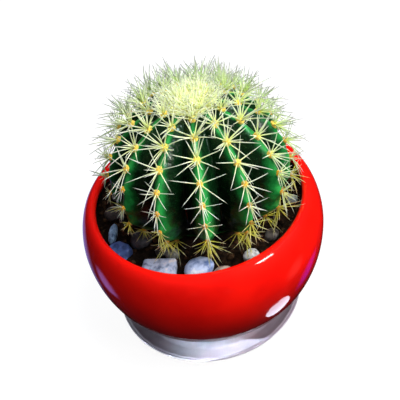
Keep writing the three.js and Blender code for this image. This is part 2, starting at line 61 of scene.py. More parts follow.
# adds a node: an input is a value, a hex colour, a socket to link or a node whose first output is
# linked, and stops are the places and colours of a ramp
def addNode(tree, kind, inputs=None, stops=(), **settings):
    node = tree.nodes.new("ShaderNode" + kind)
    for name, value in settings.items():
        setattr(node, name, value)
    for name, value in (inputs or {}).items():
        if isinstance(value, bpy.types.Node):
            value = value.outputs[0]
        if isinstance(value, bpy.types.NodeSocket):
            tree.links.new(value, node.inputs[name])
        else:
            node.inputs[name].default_value = linear(value) if isinstance(value, str) else value
    for i, (place, hexColour) in enumerate(stops):
        ramp = node.color_ramp.elements
        stop = ramp[i] if i < len(ramp) else ramp.new(place)
        stop.position = place
        stop.color = linear(hexColour)
    return node


def newMaterial(name):
    material = bpy.data.materials.new(name)
    material.use_nodes = True
    material.node_tree.nodes.clear()
    return material, material.node_tree


# gives a material its one Principled surface
def withSurface(material, inputs):
    shader = addNode(material.node_tree, "BsdfPrincipled", inputs)
    addNode(material.node_tree, "OutputMaterial", {"Surface": shader})
    return material


# the scale of a texture whose features are this many millimetres wide
def features(size):
    return 1 / (size * mm)


def smoothStep(value, low, high):
    share = np.clip((value - low) / (high - low), 0, 1)
    return share * share * (3 - 2 * share)


def mix(a, b, share):
    return a + (b - a) * share


def roughness(point, size, octaves):
    return noise.fractal(Vector(point) / size, 0.9, 2.1, octaves)


def roundTurn(steps):
    return np.arange(steps) * 2 * math.pi / steps


def addObject(name, data):
    thing = bpy.data.objects.new(name, data)
    bpy.context.scene.collection.objects.link(thing)
    return thing


# one mesh object from points in millimetres, with numbers that its material reads at each point
def newPiece(name, points, faces, material, nodes=(), marks=None):
    mesh = bpy.data.meshes.new(name)
    mesh.from_pydata((np.asarray(points) * mm).tolist(), [], faces)
    for mark, values in (marks or {}).items():
        attribute = mesh.attributes.new(mark, "FLOAT", "POINT")
        attribute.data.foreach_set("value", np.asarray(values, np.float32))
    bm = bmesh.new()
    bm.from_mesh(mesh)
    bmesh.ops.recalc_face_normals(bm, faces=bm.faces)
    bm.to_mesh(mesh)
    bm.free()
    mesh.shade_smooth()
    mesh.materials.append(material)
    piece = addObject(name, mesh)
    if nodes:
        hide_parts(*nodes)
    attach(piece, "root")
    return piece


# joins rings of points into a skin: the ends get a cap, or the last ring joins the first
def skinOver(rings, loop=False):
    rows, steps = rings.shape[:2]
    row, step = np.meshgrid(np.arange(rows if loop else rows - 1), np.arange(steps), indexing="ij")
    after, below = (step + 1) % steps, (row + 1) % rows
    corners = [row * steps + step, row * steps + after, below * steps + after, below * steps + step]
    faces = np.stack(corners, -1).reshape(-1, 4).tolist()
    points = rings.reshape(-1, 3)
    if loop:
        return points, faces
    points = np.vstack([points, rings[0].mean(0), rings[-1].mean(0)])
    first, last = len(points) - 2, len(points) - 1
    lastRow = (rows - 1) * steps
    for i in range(steps):
        j = (i + 1) % steps
        faces += [[first, j, i], [last, lastRow + i, lastRow + j]]
    return points, faces


# turns an outline of (radius, height) round the Z axis, and makes it uneven
def turned(outline, steps, centre=(0, 0), uneven=None):
    outline = np.asarray(outline, float)
    angles = roundTurn(steps)
    radii = np.repeat(outline[:, :1], steps, 1)
    heights = np.repeat(outline[:, 1:], steps, 1)
    if uneven:
        radii, heights = uneven(radii, heights, angles[None, :])
    across, along = radii * np.cos(angles) + centre[0], radii * np.sin(angles) + centre[1]
    return np.stack([across, along, heights], -1)


# rounds the corners of an outline given as (radius, height, rounding), with points every 1.5 mm
def rounded(corners, arcSteps=6, spacing=1.5, room=0.45):
    corners = np.asarray(corners, float)
    line = [corners[0, :2]]
    for before, here, after in zip(corners, corners[1:], corners[2:]):
        toBefore, toAfter = before[:2] - here[:2], after[:2] - here[:2]
        reach = min(room * min(np.linalg.norm(toBefore), np.linalg.norm(toAfter)), here[2])
        start = here[:2] + toBefore / np.linalg.norm(toBefore) * reach
        end = here[:2] + toAfter / np.linalg.norm(toAfter) * reach
        for t in np.linspace(0, 1, arcSteps):
            line.append((1 - t) ** 2 * start + 2 * t * (1 - t) * here[:2] + t * t * end)
    line.append(corners[-1, :2])
    dense = [line[0]]
    for a, b in zip(line, line[1:]):
        count = max(1, math.ceil(np.linalg.norm(b - a) / spacing))
        dense += [a + (b - a) * i / count for i in range(1, count + 1)]
    return np.array(dense)


# camera, light and floor

view = {
    "target": (0.75, 0, 77.1),
    "elevation": 44.2,
    "roll": 10.35,
    "distance": 408,
    "lens": 66.33,
}

# each softbox: where its middle stands as seen from the object (bearing from the front towards
# the right, elevation, distance), its size, power and colour, and whether the glaze mirrors it.
# Some are flagged off from a piece, or reach only one, and the snoot has a narrow spread and its own aim
softboxes = {
    "key": {"at": (76, 40, 800), "size": (340, 300), "power": 5.4, "colour": "#fff9ef",
            "flagged": ["saucer_glazed"]},
    "strip": {"at": (48, 29, 800), "size": (200, 120), "power": 2.6, "colour": "#fffdf8",
              "flagged": ["saucer_glazed"], "mirrored": True},
    "top": {"at": (70, 72, 700), "size": (380, 320), "power": 5.6, "colour": "#f2f7ff",
            "flagged": ["saucer_glazed"]},
    "snoot": {"at": (-72, 33, 800), "size": (30, 20), "power": 0.0105, "colour": "#e6ecff",
              "only": ["saucer_glazed"], "spread": 4, "aim": (-1, -50, 5)},
    "side": {"at": (75, 30, 800), "size": (200, 120), "power": 3.2, "colour": "#ffe2ec",
             "only": ["saucer_glazed"]},
    "front": {"at": (-20, 24, 800), "size": (700, 300), "power": 1.75, "colour": "#f4f4ff",
              "flagged": ["cactus_skin"]},
    "back": {"at": (170, 38, 800), "size": (400, 300), "power": 2.4, "colour": "#eef2ff"},
    "glint": {"at": (55, 50, 800), "size": (160, 120), "power": 3.6, "colour": "#dcfffa",
              "only": ["cactus_skin"], "mirrored": True},
}

# a bright patch of table that only the underside of the glaze mirrors: it lies under the paper,
# which mirrored rays pass
tablePatch = {"at": (51, -57, -1), "size": (28, 23), "turn": 20, "power": 0.0072, "colour": "#e2e8ff"}

# the studio round the object: a dim cool tent, with soft coloured cards that only the glaze mirrors
tent = {
    "colour": "#dfe6f6",
    "strength": 0.08,
    "below": 0.25,  # the share of it that is left under the horizon
    "horizon": (-0.25, 0.35),
    "mirrored": 0.5,  # the share of it that the glaze mirrors
    # colour, strength, bearing, elevation and half width in degrees
    "cards": [
        ("#8c84d8", 1.1, -150, -35, 19),
        ("#a48cf4", 1.5, -110, -41, 10),
        ("#7a28d8", 1.1, 114, -53, 9),
        ("#ff9c90", 0.5, 76, -37, 10),
        ("#ff8a80", 0.4, 11, -15, 5),
        ("#ff8a80", 0.3, -16, -10, 6),
    ],
}

# in metres: the paper lies flat to its reach, then rises slowly to its far edge
paper = {"reach": 5.0, "farEdge": 10.0, "rise": 4.0, "below": 0.0003}


def placeCamera():
    data = bpy.data.cameras.new("camera")
    data.lens = view["lens"]
    camera = addObject("camera", data)
    camera.matrix_world = (
        Matrix.Translation(Vector(view["target"]) * mm)
        @ Matrix.Rotation(math.radians(90 - view["elevation"]), 4, "X")
        @ Matrix.Rotation(math.radians(-view["roll"]), 4, "Z")
        @ Matrix.Translation((0, 0, view["distance"] * mm))
    )
    bpy.context.scene.camera = camera


# the direction from the object towards a bearing and an elevation
def towards(bearing, elevation):
    bearing, elevation = math.radians(bearing), math.radians(elevation)
    flat = math.cos(elevation)
    return Vector((math.sin(bearing) * flat, -math.cos(bearing) * flat, math.sin(elevation)))


def addLamp(name, look, shape):
    data = bpy.data.lights.new(name, "AREA")
    data.shape = shape
    data.size, data.size_y = (side * mm for side in look["size"])
    data.energy = look["power"]
    data.color = linear(look["colour"])[:3]
    return addObject(name, data)


def placeSoftbox(name, box):
    light = addLamp(name, box, "RECTANGLE")
    light.data.spread = math.radians(box.get("spread", 180))
    light.visible_glossy = box.get("mirrored", False)
    bearing, elevation, distance = box["at"]
    away = towards(bearing, elevation)
    light.location = (Vector(box.get("aim", view["target"])) + away * distance) * mm
    light.rotation_mode = "QUATERNION"
    light.rotation_quaternion = away.to_track_quat("Z", "Y")


def layTablePatch():
    light = addLamp("table patch", tablePatch, "ELLIPSE")
    light.location = Vector(tablePatch["at"]) * mm
    light.rotation_euler = (math.pi, 0, math.radians(tablePatch["turn"]))


def raiseTent():
    world = bpy.data.worlds.new("studio")
    world.use_nodes = True
    tree = world.node_tree
    tree.nodes.clear()
    way = addNode(tree, "TexCoord").outputs["Generated"]
    height = addNode(tree, "SeparateXYZ", {"Vector": way}).outputs["Z"]
    low, high = tent["horizon"]
    full = tent["strength"]
    dome = addNode(tree, "MapRange", {"Value": height, "From Min": low, "From Max": high,
                                      "To Min": tent["below"] * full, "To Max": full})
    mirrored = addNode(tree, "LightPath").outputs["Is Glossy Ray"]
    dim = addNode(tree, "MapRange", {"Value": mirrored, "To Min": 1.0, "To Max": tent["mirrored"]})
    strength = addNode(tree, "Math", {0: dome, 1: dim}, operation="MULTIPLY")
    surface = addNode(tree, "Background", {"Color": tent["colour"], "Strength": strength})
    for colour, bright, bearing, elevation, halfWidth in tent["cards"]:
        toCard = towards(bearing, elevation)
        near = addNode(tree, "VectorMath", {0: way, 1: toCard}, operation="DOT_PRODUCT").outputs["Value"]
        edge = math.cos(math.radians(halfWidth))
        spot = addNode(tree, "MapRange", {"Value": near, "From Min": edge, "To Max": bright},
                       interpolation_type="SMOOTHSTEP")
        seen = addNode(tree, "Math", {0: spot, 1: mirrored}, operation="MULTIPLY")
        card = addNode(tree, "Background", {"Color": colour, "Strength": seen})
        surface = addNode(tree, "AddShader", {0: surface, 1: card})
    addNode(tree, "OutputWorld", {"Surface": surface})
    bpy.context.scene.world = world


def lightStudio():
    # the Standard view keeps the red as deep as in the photograph
    bpy.context.scene.view_settings.view_transform = "Standard"
    raiseTent()
    layTablePatch()
    for name, box in softboxes.items():
        placeSoftbox(name, box)


# flags a softbox off from some pieces, or keeps it on some only, once the pieces are there
def flagLights():
    for name, box in softboxes.items():
        pieces = box.get("only") or box.get("flagged")
        if not pieces:
            continue
        group = bpy.data.collections.new(name + " light")
        for piece in pieces:
            group.objects.link(bpy.data.objects[piece])
        bpy.data.objects[name].light_linking.receiver_collection = group
        if "flagged" in box:
            for link in group.collection_objects:
                link.light_linking.link_state = "EXCLUDE"


def layFloor():
    # pale seamless paper that lights itself a little, so the object's shadow stays faint
    matte = withSurface(newMaterial("matte paper")[0], {
        "Base Color": "#5c5c5c",
        "Roughness": 0.9,
        "Emission Color": "#fbfbfb",
        "Emission Strength": 0.97,
    })
    corners = [(-1, -1), (1, -1), (1, 1), (-1, 1)]
    points = [(x * paper["reach"], y * paper["reach"], -paper["below"]) for x, y in corners]
    points += [(x * paper["farEdge"], y * paper["farEdge"], paper["rise"]) for x, y in corners]
    faces = [[0, 1, 2, 3]] + [[i, i + 4, (i + 1) % 4 + 4, (i + 1) % 4] for i in range(4)]
    mesh = bpy.data.meshes.new("floor")
    mesh.from_pydata(points, [], faces)
    mesh.materials.append(matte)
    floor = addObject("floor", mesh)
    floor.visible_diffuse = False
    floor.visible_glossy = False


placeCamera()
lightStudio()
layFloor()
print("camera, light and floor")

# saucer

saucer = {
    "centre": (-2.7, -2.7),
    "steps": 288,
    "flutes": 36,
    "fluteDepth": 0.14,
    # the flutes grow and fade between these radii, and start at this height
    "fluteStart": (43, 49),
    "fluteEnd": (52.5, 54),
    "fluteHeight": 2,
    # (radius, height, rounding) from the middle of the foot, over the rim, to the middle of the floor
    "outline": [
        (0, 0, 0), (41, 0, 0.5), (42.8, 0.7, 1.2), (52.2, 5.2, 2), (55.1, 6.4, 0.6), (55.4, 7.1, 0.4),
        (54.9, 7.5, 0.4), (54.1, 7.2, 0.4), (53.3, 7.35, 0.5), (50.2, 5.4, 2), (44.5, 2.7, 2.5),
        (42, 2.6, 1), (0, 2.6, 0),
    ],
    "white": "#f0eff6",
    "shade": "#e2e2ee",
}


# white glazed stoneware: cool and glossy, with faint lavender clouds
def whiteGlaze():
    material, tree = newMaterial("white glazed stoneware")
    place = addNode(tree, "TexCoord").outputs["Object"]
    cloud = addNode(tree, "TexNoise", {"Vector": place, "Scale": features(14), "Detail": 4})
    colour = addNode(tree, "ValToRGB", {"Fac": cloud}, [(0.3, saucer["shade"]), (0.65, saucer["white"])])
    # the fine ripple of a fired glaze, 2.5 mm from crest to crest
    peel = addNode(tree, "TexNoise", {"Vector": place, "Scale": features(2.5), "Detail": 2})
    bump = addNode(tree, "Bump", {"Height": peel, "Strength": 0.05, "Distance": 0.0004})
    return withSurface(material, {
        "Base Color": colour,
        "Roughness": 0.3,
        "IOR": 1.5,
        "Coat Weight": 0.4,
        "Coat Roughness": 0.05,
        "Normal": bump,
    })


def makeSaucer():
    def fluted(radii, heights, angles):
        # shallow flutes on the sloping wall only, gone at the rim and on the floor
        wall = smoothStep(radii, *saucer["fluteStart"]) * (1 - smoothStep(radii, *saucer["fluteEnd"]))
        wave = np.cos(saucer["flutes"] * angles)
        return radii, heights + saucer["fluteDepth"] * wall * wave * (heights > saucer["fluteHeight"])

    outline = rounded(saucer["outline"])[1:-1]
    points, faces = skinOver(turned(outline, saucer["steps"], saucer["centre"], fluted))
    newPiece("saucer_glazed", points, faces, whiteGlaze(), ["saucer"])


makeSaucer()
print("saucer")

# bowl

bowl = {
    "steps": 288,
    "footRadius": 35.5,
    "footInner": 31.5,
    "footBottom": 2.9,
    "footTop": 5.4,
    "belly": (68, 61),  # its radius and height
    "lowerCore": 14.3,
    "lowerPower": 2.03,
    "shoulderCore": 59.5,
    "shoulderPower": 1.72,
    "top": 84,
    "lipRadius": 2.7,
    "lipTurn": 170,
    "wall": 5,
    "floor": 10.1,
    "drain": 6,
    "outOfRound": 0.12,  # reached between these heights
    "roundHeight": (8, 40),
    "rows": {"lower": 56, "upper": 44, "lip": 20, "inside": 60},
    "red": "#ea1006",
    "deepRed": "#da0a04",
    # painted shade: the dark red that stands in for the shade on the lower bowl
    "paintedShadeRed": "#5e0201",
}


# glazed stoneware: deep colour under a hard clear gloss, a little uneven where the glaze pooled
def redGlaze():
    material, tree = newMaterial("red glazed stoneware")
    place = addNode(tree, "TexCoord").outputs["Object"]
    pools = addNode(tree, "TexNoise", {"Vector": place, "Scale": features(22), "Detail": 3})
    colour = addNode(tree, "ValToRGB", {"Fac": pools}, [(0.35, bowl["deepRed"]), (0.62, bowl["red"])])
    height = addNode(tree, "SeparateXYZ", {"Vector": place}).outputs["Z"]
    # painted shade: the red darkens towards the foot, standing in for the shade under the belly
    footShade = addNode(tree, "MapRange", {"Value": height, "From Min": 0.016, "From Max": 0.07,
                                      "To Min": 1.0, "To Max": 0.0}, interpolation_type="SMOOTHSTEP")
    # the colours of a Mix node are its inputs 6 and 7 and its output 2
    body = addNode(tree, "Mix", {0: footShade, 6: colour, 7: bowl["paintedShadeRed"]}, data_type="RGBA")
    # the orange peel of a fired glaze, drawn 3.5 mm across so that it shows
    peel = addNode(tree, "TexNoise", {"Vector": place, "Scale": features(3.5), "Detail": 2})
    bump = addNode(tree, "Bump", {"Height": peel, "Strength": 0.12, "Distance": 0.0004})
    return withSurface(material, {
        "Base Color": body.outputs[2],
        "Roughness": 0.6,
        "IOR": 1.5,
        "Specular IOR Level": 0.1,
        "Coat Weight": 1.0,
        "Coat Roughness": 0.055,
        "Coat IOR": 1.5,
        "Normal": bump,
        "Coat Normal": bump,
    })


# the outer radius: a quarter of a superellipse below the belly and another above it
def bowlRadius(height):
    widest, belly = bowl["belly"]
    if height < belly:
        core, power = bowl["lowerCore"], bowl["lowerPower"]
        share = (belly - height) / belly
    else:
        core, power = bowl["shoulderCore"], bowl["shoulderPower"]
        share = min(1, (height - belly) / (bowl["top"] - belly))
    return mix(core, widest, (1 - share ** power) ** (1 / power))


# the points of such a quarter at some turns from the belly
def quarter(core, rise, power, turns):
    widest, belly = bowl["belly"]
    reach, climb = np.cos(turns) ** (2 / power), np.sin(turns) ** (2 / power)
    return np.stack([mix(core, widest, reach), belly + rise * climb], -1)


def makeBowl():
    belly, floor, wall, rows = bowl["belly"][1], bowl["floor"], bowl["wall"], bowl["rows"]
    footTurn = math.asin((1 - bowl["footTop"] / belly) ** (bowl["lowerPower"] / 2))
    lower = quarter(bowl["lowerCore"], -belly, bowl["lowerPower"],
                    np.linspace(footTurn, 0, rows["lower"]))
    upper = quarter(bowl["shoulderCore"], bowl["top"] - belly, bowl["shoulderPower"],
                    np.linspace(0, math.pi / 2, rows["upper"]))
    turns = math.pi / 2 + np.radians(bowl["lipTurn"]) * np.linspace(0, 1, rows["lip"])[1:]
    lipHeight = bowl["top"] - bowl["lipRadius"]
    lip = np.stack([bowl["shoulderCore"] + bowl["lipRadius"] * np.cos(turns),
                    lipHeight + bowl["lipRadius"] * np.sin(turns)], -1)
    under = lipHeight - 1.5 * bowl["lipRadius"]
    inside = [(bowlRadius(h) - wall, h) for h in np.linspace(under, floor + 1, rows["inside"])]
    foot = rounded([
        (bowl["drain"], floor, 0), (bowl["drain"], bowl["footTop"], 0.5),
        (bowl["footInner"] - 0.6, bowl["footTop"], 0.8), (bowl["footInner"], bowl["footBottom"], 0.4),
        (bowl["footRadius"], bowl["footBottom"], 0.6), tuple(lower[0]) + (0,),
    ])
    base = rounded([
        (bowlRadius(floor + 1) - wall, floor + 1, 0), (bowlRadius(floor) - wall - 2, floor, 1.5),
        (bowl["drain"] + 1, floor, 0),
    ])
    outline = np.vstack([foot, lower[1:], upper[1:], lip, inside, base[1:]])

    def thrown(radii, heights, angles):
        # a thrown bowl is never quite round: it is a little oval
        oval = np.sin(2 * angles + 0.6) * smoothStep(heights, *bowl["roundHeight"])
        return radii + bowl["outOfRound"] * oval, heights

    points, faces = skinOver(turned(outline, bowl["steps"], uneven=thrown), loop=True)
    newPiece("bowl_glazed", points, faces, redGlaze(), ["pot"])


makeBowl()
print("bowl")

# shape of the plant

plant = {
    "centre": (3.3, 0, 98),
    "lean": (-6.8, 2.1),  # degrees about X, then about Y
    "ribs": 13,
    "firstRib": -93.2,
    "crestRadius": 48,
    "upperHeight": 44.7,
    "lowerHeight": 26,
    "power": 2.17,
    "furrowDepth": 0.27,
    "topFade": 0.6,  # the share of a furrow that fades out up to the top, between these latitudes
    "topFadeLatitude": (50, 88),
    "lowFade": 0.8,  # and down to the neck
    "lowFadeLatitude": (45, 88),
    "crestSoftness": 0.22,
    "crestWidth": 0.42,
    "columnsPerRib": 24,
    "rows": 150,
    "neck": [(26.8, -23.5), (26.2, -27), (24.6, -32), (23.2, -37.4), (22.6, -38)],
    "lastLatitude": -57.6,
    "topGap": 0.02,  # radians round the growing point, closed by the cap
    "plainLatitude": 50,  # below this the furrows run out into the neck
    "bump": 0.9,  # the crest swells at each areole and draws in between them
    "bumpWidth": 3.4,
    "drawIn": 0.4,
    "uneven": 0.004,
    "unevenSize": 6,
    "youngHeight": (-14, 44),
    "crest": "#2f9445",
    "side": "#1c7c36",
    # painted shade: the flank and furrow greens are darker to stand in for the shade in the furrows
    "flankShade": "#0a4019",
    "furrowShade": "#010803",
    # painted shade: the darker green near the top, for the shade of the dense spines
    "topShade": "#0c3a16",
    "fleck": "#3f8f4c",
}

areole = {
    "spacing": 11,
    "firstLatitude": 58,
    "numbers": (-2, 6),  # from the top down, counted from the first latitude
    "spiralSteps": 7,
    "clearOfCrown": 2.2,
    "clearOfSoil": 3,
    # the newest spines next to the crown and the oldest ones low down are shorter
    "newLength": 0.6,
    "newLatitude": (54, 71),
    "oldLength": 0.64,
    "oldLatitude": (33, 12),
    # and shorter still on the side that gets less light
    "dimLength": 0.6,
    "dimBearing": 185,
    "dimWidth": (0.3, 0.9),
    # an areole turns young, or crowded by the crown, between these heights, and low between these
    # degrees below the widest part
    "youngHeight": (-14, 40),
    "crowdedHeight": (24, 39),
    "lowDegrees": (2, 14),
    # the shaded side of the plant, away from the front, has denser spines, greyed by painted shade
    "litFrom": (-15, 44),
    "litFacing": (0.3, 0.8),
    "shadedHeight": (-8, 10),
}

crown = {
    "radius": 13.5,
    "rise": 2.4,
    "dip": 1.2,
    "dipWidth": 0.35,
}

# the soil's level, the mound round the stem and slow waves, which end before the bowl
ground = {
    "level": 72.5,
    "mound": 2.6,
    "moundReach": (20, 46),
    "wave": 0.5,
    "waveTurns": (0.31, 0.37),  # radians for each mm across and along
    "waveStart": 1.3,
    "ripple": 0.3,
    "rippleTurns": (0.71, 0.53),
    "flatReach": (52, 60),
}

plantFrame = (
    Matrix.Translation(plant["centre"])
    @ Matrix.Rotation(math.radians(plant["lean"][1]), 4, "Y")
    @ Matrix.Rotation(math.radians(plant["lean"][0]), 4, "X")
)


def fromPlant(points):
    points = np.asarray(points, float)
    return points @ np.array(plantFrame.to_3x3()).T + np.array(plant["centre"])


def signedPower(value, power):
    return np.sign(value) * np.abs(value) ** power


# the smooth line along a rib's crest, as radius and height at a latitude
def crestLine(latitude):
    tall = np.where(latitude > 0, plant["upperHeight"], plant["lowerHeight"])
    power = 2 / plant["power"]
    return (plant["crestRadius"] * signedPower(np.cos(latitude), power),
            tall * signedPower(np.sin(latitude), power))


# the number of the rib at a longitude, with its fraction
def ribCount(longitude):
    return (longitude - math.radians(plant["firstRib"])) / (2 * math.pi / plant["ribs"])


# 0 on a crest to 1 in a furrow
def fromCrest(longitude):
    turns = ribCount(longitude)
    return np.abs(turns - np.round(turns)) * 2


# the same with a crest that is narrow but not sharp
def furrowShape(longitude):
    soft = plant["crestSoftness"]
    return (np.hypot(fromCrest(longitude), soft) - soft) / (math.hypot(1, soft) - soft)


def furrowShare(latitude):
    degrees = np.degrees(latitude)
    share = 1 - plant["topFade"] * smoothStep(degrees, *plant["topFadeLatitude"])
    return share - plant["lowFade"] * smoothStep(-degrees, *plant["lowFadeLatitude"])


# the crest as a fine chain: latitude, radius, height and length from the top
def crestChain(lowest=-60, count=401):
    latitude = np.linspace(math.pi / 2, math.radians(lowest), count)
    radius, height = crestLine(latitude)
    along = np.concatenate([[0], np.cumsum(np.hypot(np.diff(radius), np.diff(height)))])
    return latitude, radius, height, along


def soilHeight(x, y):
    fromStem = math.hypot(x - plant["centre"][0], y - plant["centre"][1])
    mound = ground["mound"] * (1 - smoothStep(fromStem, *ground["moundReach"]))
    (waveX, waveY), (rippleX, rippleY) = ground["waveTurns"], ground["rippleTurns"]
    waves = (ground["wave"] * math.sin(x * waveX + ground["waveStart"]) * math.cos(y * waveY)
             + ground["ripple"] * math.sin(x * rippleX - y * rippleY))
    return ground["level"] + mound + waves * (1 - smoothStep(math.hypot(x, y), *ground["flatReach"]))


# how long the spines of an areole are, as a share of the longest: through age, and through light
def spineSize(latitude, longitude):
    degrees = math.degrees(latitude)
    fresh = smoothStep(degrees, *areole["newLatitude"])
    younger, older = areole["oldLatitude"]
    age = smoothStep(-degrees, -younger, -older)
    dimness = smoothStep(math.cos(longitude - math.radians(areole["dimBearing"])), *areole["dimWidth"])
    light = mix(1, areole["dimLength"], age * dimness)
    size = mix(1, areole["newLength"], fresh) * mix(1, areole["oldLength"], age) * light
    return float(size), float(light)


# every areole in the plant's own frame: place, axis out of the skin, way down the rib, way across
def findAreoles():
    latitude, radius, height, along = crestChain()
    litFrom = np.array(plantFrame.to_3x3().inverted() @ towards(*areole["litFrom"]))
    first = along[np.argmax(latitude <= math.radians(areole["firstLatitude"]))]
    found = []
    for rib in range(plant["ribs"]):
        phase = rib * areole["spiralSteps"] % plant["ribs"] / plant["ribs"]
        longitude = math.radians(plant["firstRib"]) + rib * 2 * math.pi / plant["ribs"]
        outward = np.array([math.cos(longitude), math.sin(longitude), 0])
        for number in range(areole["numbers"][0], areole["numbers"][1] + 1):
            index = int(np.argmax(along >= first + (number + phase) * areole["spacing"]))
            if radius[index] < crown["radius"] + areole["clearOfCrown"]:
                continue
            run = np.array([radius[index] - radius[index - 1], height[index] - height[index - 1]])
            run /= np.linalg.norm(run)
            point = outward * radius[index] + np.array([0, 0, height[index]])
            placed = fromPlant(point)
            if placed[2] < soilHeight(placed[0], placed[1]) + areole["clearOfSoil"]:
                continue
            size, light = spineSize(latitude[index], longitude)
            down = outward * run[0] + np.array([0, 0, run[1]])
            axis = outward * -run[1] + np.array([0, 0, run[0]])
            degrees = math.degrees(latitude[index])
            inShade = 1 - smoothStep(axis @ litFrom, *areole["litFacing"])
            found.append({
                "point": point, "axis": axis, "down": down, "across": np.cross(axis, down),
                "rib": rib, "along": along[index], "latitude": degrees, "size": size, "light": light,
                "youth": float(smoothStep(height[index], *areole["youngHeight"])),
                "crowding": float(smoothStep(height[index], *areole["crowdedHeight"])),
                "shaded": float(inShade * smoothStep(height[index], *areole["shadedHeight"])),
                "low": float(smoothStep(-degrees, *areole["lowDegrees"])),
            })
    return found


areoles = findAreoles()
print("areoles:", len(areoles))

# skin of the plant


# waxy epidermis: saturated green under a thin wax that gives small cool highlights
def epidermis():
    material, tree = newMaterial("waxy cactus epidermis")
    place = addNode(tree, "TexCoord").outputs["Object"]
    depth = addNode(tree, "Attribute", attribute_name="furrowShade").outputs["Fac"]
    youth = addNode(tree, "Attribute", attribute_name="youth").outputs["Fac"]
    blotch = addNode(tree, "TexNoise", {"Vector": place, "Scale": features(7), "Detail": 4})
    shifted = addNode(tree, "Math", {0: blotch, 1: 0.8, 2: -0.4}, operation="MULTIPLY_ADD")
    # painted shade: the flanks darken sooner near the top, where the dense spines shade the skin
    topShadeGain = addNode(tree, "Math", {0: youth, 1: 1.5, 2: 1.0}, operation="MULTIPLY_ADD")
    shadeDepth = addNode(tree, "Math", {0: depth, 1: topShadeGain}, operation="MULTIPLY")
    uneven = addNode(tree, "Math", {0: shadeDepth, 1: shifted}, operation="ADD")
    # painted shade: the green darkens from the crest down the flanks into near-black furrows
    greens = (plant[part] for part in ("crest", "side", "flankShade", "furrowShade"))
    colour = addNode(tree, "ValToRGB", {"Fac": uneven}, zip((0.0, 0.12, 0.36, 0.62), greens))
    # painted shade: the skin darkens a little towards the top, under the dense spines
    fresh = addNode(tree, "Math", {0: youth, 1: 0.25}, operation="MULTIPLY")
    top = addNode(tree, "Mix", {0: fresh, 6: colour, 7: plant["topShade"]}, data_type="RGBA")
    # stomata are far finer: they are drawn 0.7 mm apart so that they show
    stomata = addNode(tree, "TexVoronoi", {"Vector": place, "Scale": features(0.7)})
    dots = addNode(tree, "MapRange", {"Value": stomata, "From Min": 0.1, "From Max": 0.3,
                                      "To Min": 0.3, "To Max": 0.0})
    flecked = addNode(tree, "Mix", {0: dots, 6: top.outputs[2], 7: plant["fleck"]}, data_type="RGBA")
    sheen = addNode(tree, "MapRange", {"Value": blotch, "From Min": 0.3, "From Max": 0.7,
                                       "To Min": 0.26, "To Max": 0.45})
    # shallow dents of 4.5 mm, and on them the skin's grain, drawn 1.6 mm wide so that it shows
    dents = addNode(tree, "TexNoise", {"Vector": place, "Scale": features(4.5), "Detail": 2})
    dented = addNode(tree, "Bump", {"Height": dents, "Strength": 0.6, "Distance": 0.0016})
    grain = addNode(tree, "TexNoise", {"Vector": place, "Scale": features(1.6), "Detail": 5})
    bump = addNode(tree, "Bump", {"Height": grain, "Strength": 0.3, "Distance": 0.0005, "Normal": dented})
    return withSurface(material, {
        "Base Color": flecked.outputs[2],
        "Roughness": sheen,
        "IOR": 1.4,
        "Specular IOR Level": 0.2,
        "Coat Weight": 0.3,
        "Coat Roughness": 0.1,
        "Normal": bump,
        "Coat Normal": bump,
    })


def makeSkin():
    last = math.radians(plant["lastLatitude"])
    latitude = np.linspace(math.pi / 2 - plant["topGap"], last, plant["rows"])
    radius, height = crestLine(latitude)
    ribs, steps = plant["ribs"], plant["ribs"] * plant["columnsPerRib"]
    longitude = roundTurn(steps) + math.radians(plant["firstRib"])
    shape = furrowShape(longitude)
    plain = smoothStep(-np.degrees(latitude), plant["plainLatitude"], -plant["lastLatitude"])
    share = furrowShare(latitude) * (1 - plain)
    cut = 1 - plant["furrowDepth"] * share[:, None] * shape[None, :]
    chainLatitude, _, _, chainAlong = crestChain()
    along = np.interp(-latitude, -chainLatitude, chainAlong)
    turns = ribCount(longitude)
    swell = np.zeros((len(latitude), steps))
    for spot in areoles:
        away = np.abs((turns - spot["rib"] + ribs / 2) % ribs - ribs / 2) * 2
        onCrest = np.exp(-(away / plant["crestWidth"]) ** 2)
        near = np.exp(-((along - spot["along"]) / plant["bumpWidth"]) ** 2)
        swell += near[:, None] * onCrest[None, :]
    onAnyCrest = np.exp(-(fromCrest(longitude) / plant["crestWidth"]) ** 2)
    relief = plant["bump"] * swell - plant["drawIn"] * onAnyCrest[None, :] * share[:, None]
    reach = radius[:, None] * cut + relief
    rings = np.stack([reach * np.cos(longitude), reach * np.sin(longitude),
                      np.repeat(height[:, None], steps, 1)], -1)
    for ring in rings:
        for point in ring:
            point[:2] *= 1 + plant["uneven"] * roughness(point, plant["unevenSize"], 2)
    neck = turned(plant["neck"], steps)
    points, faces = skinOver(np.concatenate([rings, neck]))
    # what the epidermis reads, ring after ring, with the caps at the top and under the neck last
    depth = np.append(shape[None, :] * share[:, None], np.full(neck.shape[:2], 0.5), 0)
    youth = np.repeat(smoothStep(height, *plant["youngHeight"]), steps)
    marks = {
        "furrowShade": np.append(depth.ravel(), [0, 0.5]),
        "youth": np.concatenate([youth, np.zeros(len(neck) * steps), [1, 0]]),
    }
    newPiece("cactus_skin", fromPlant(points), faces, epidermis(), ["cactus"], marks)


makeSkin()
print("skin of the plant")

# areole wool

woolLook = {
    "padHalf": (2.15, 1.75, 1.45),  # down the rib, across it and out of the skin
    "padShare": (0.62, 1.04),  # of that, on the oldest and on the youngest areole
    "padLift": 0.55,
    "lump": 0.28,
    "lumpSize": 0.45,  # as a share of the pad
    # loose hairs that stand out of the pad
    "hairs": 26,
    "hairSpread": (20, 95),
    "hairLift": 0.7,
    "hairStart": 0.8,
    "hairLength": (0.9, 1.7),
    "hairRadii": (0.13, 0.1, 0),
    "colours": ("#c0882a", "#e4aa2c", "#f0d058"),  # old, middle and young
    "sheen": 0.3,
}


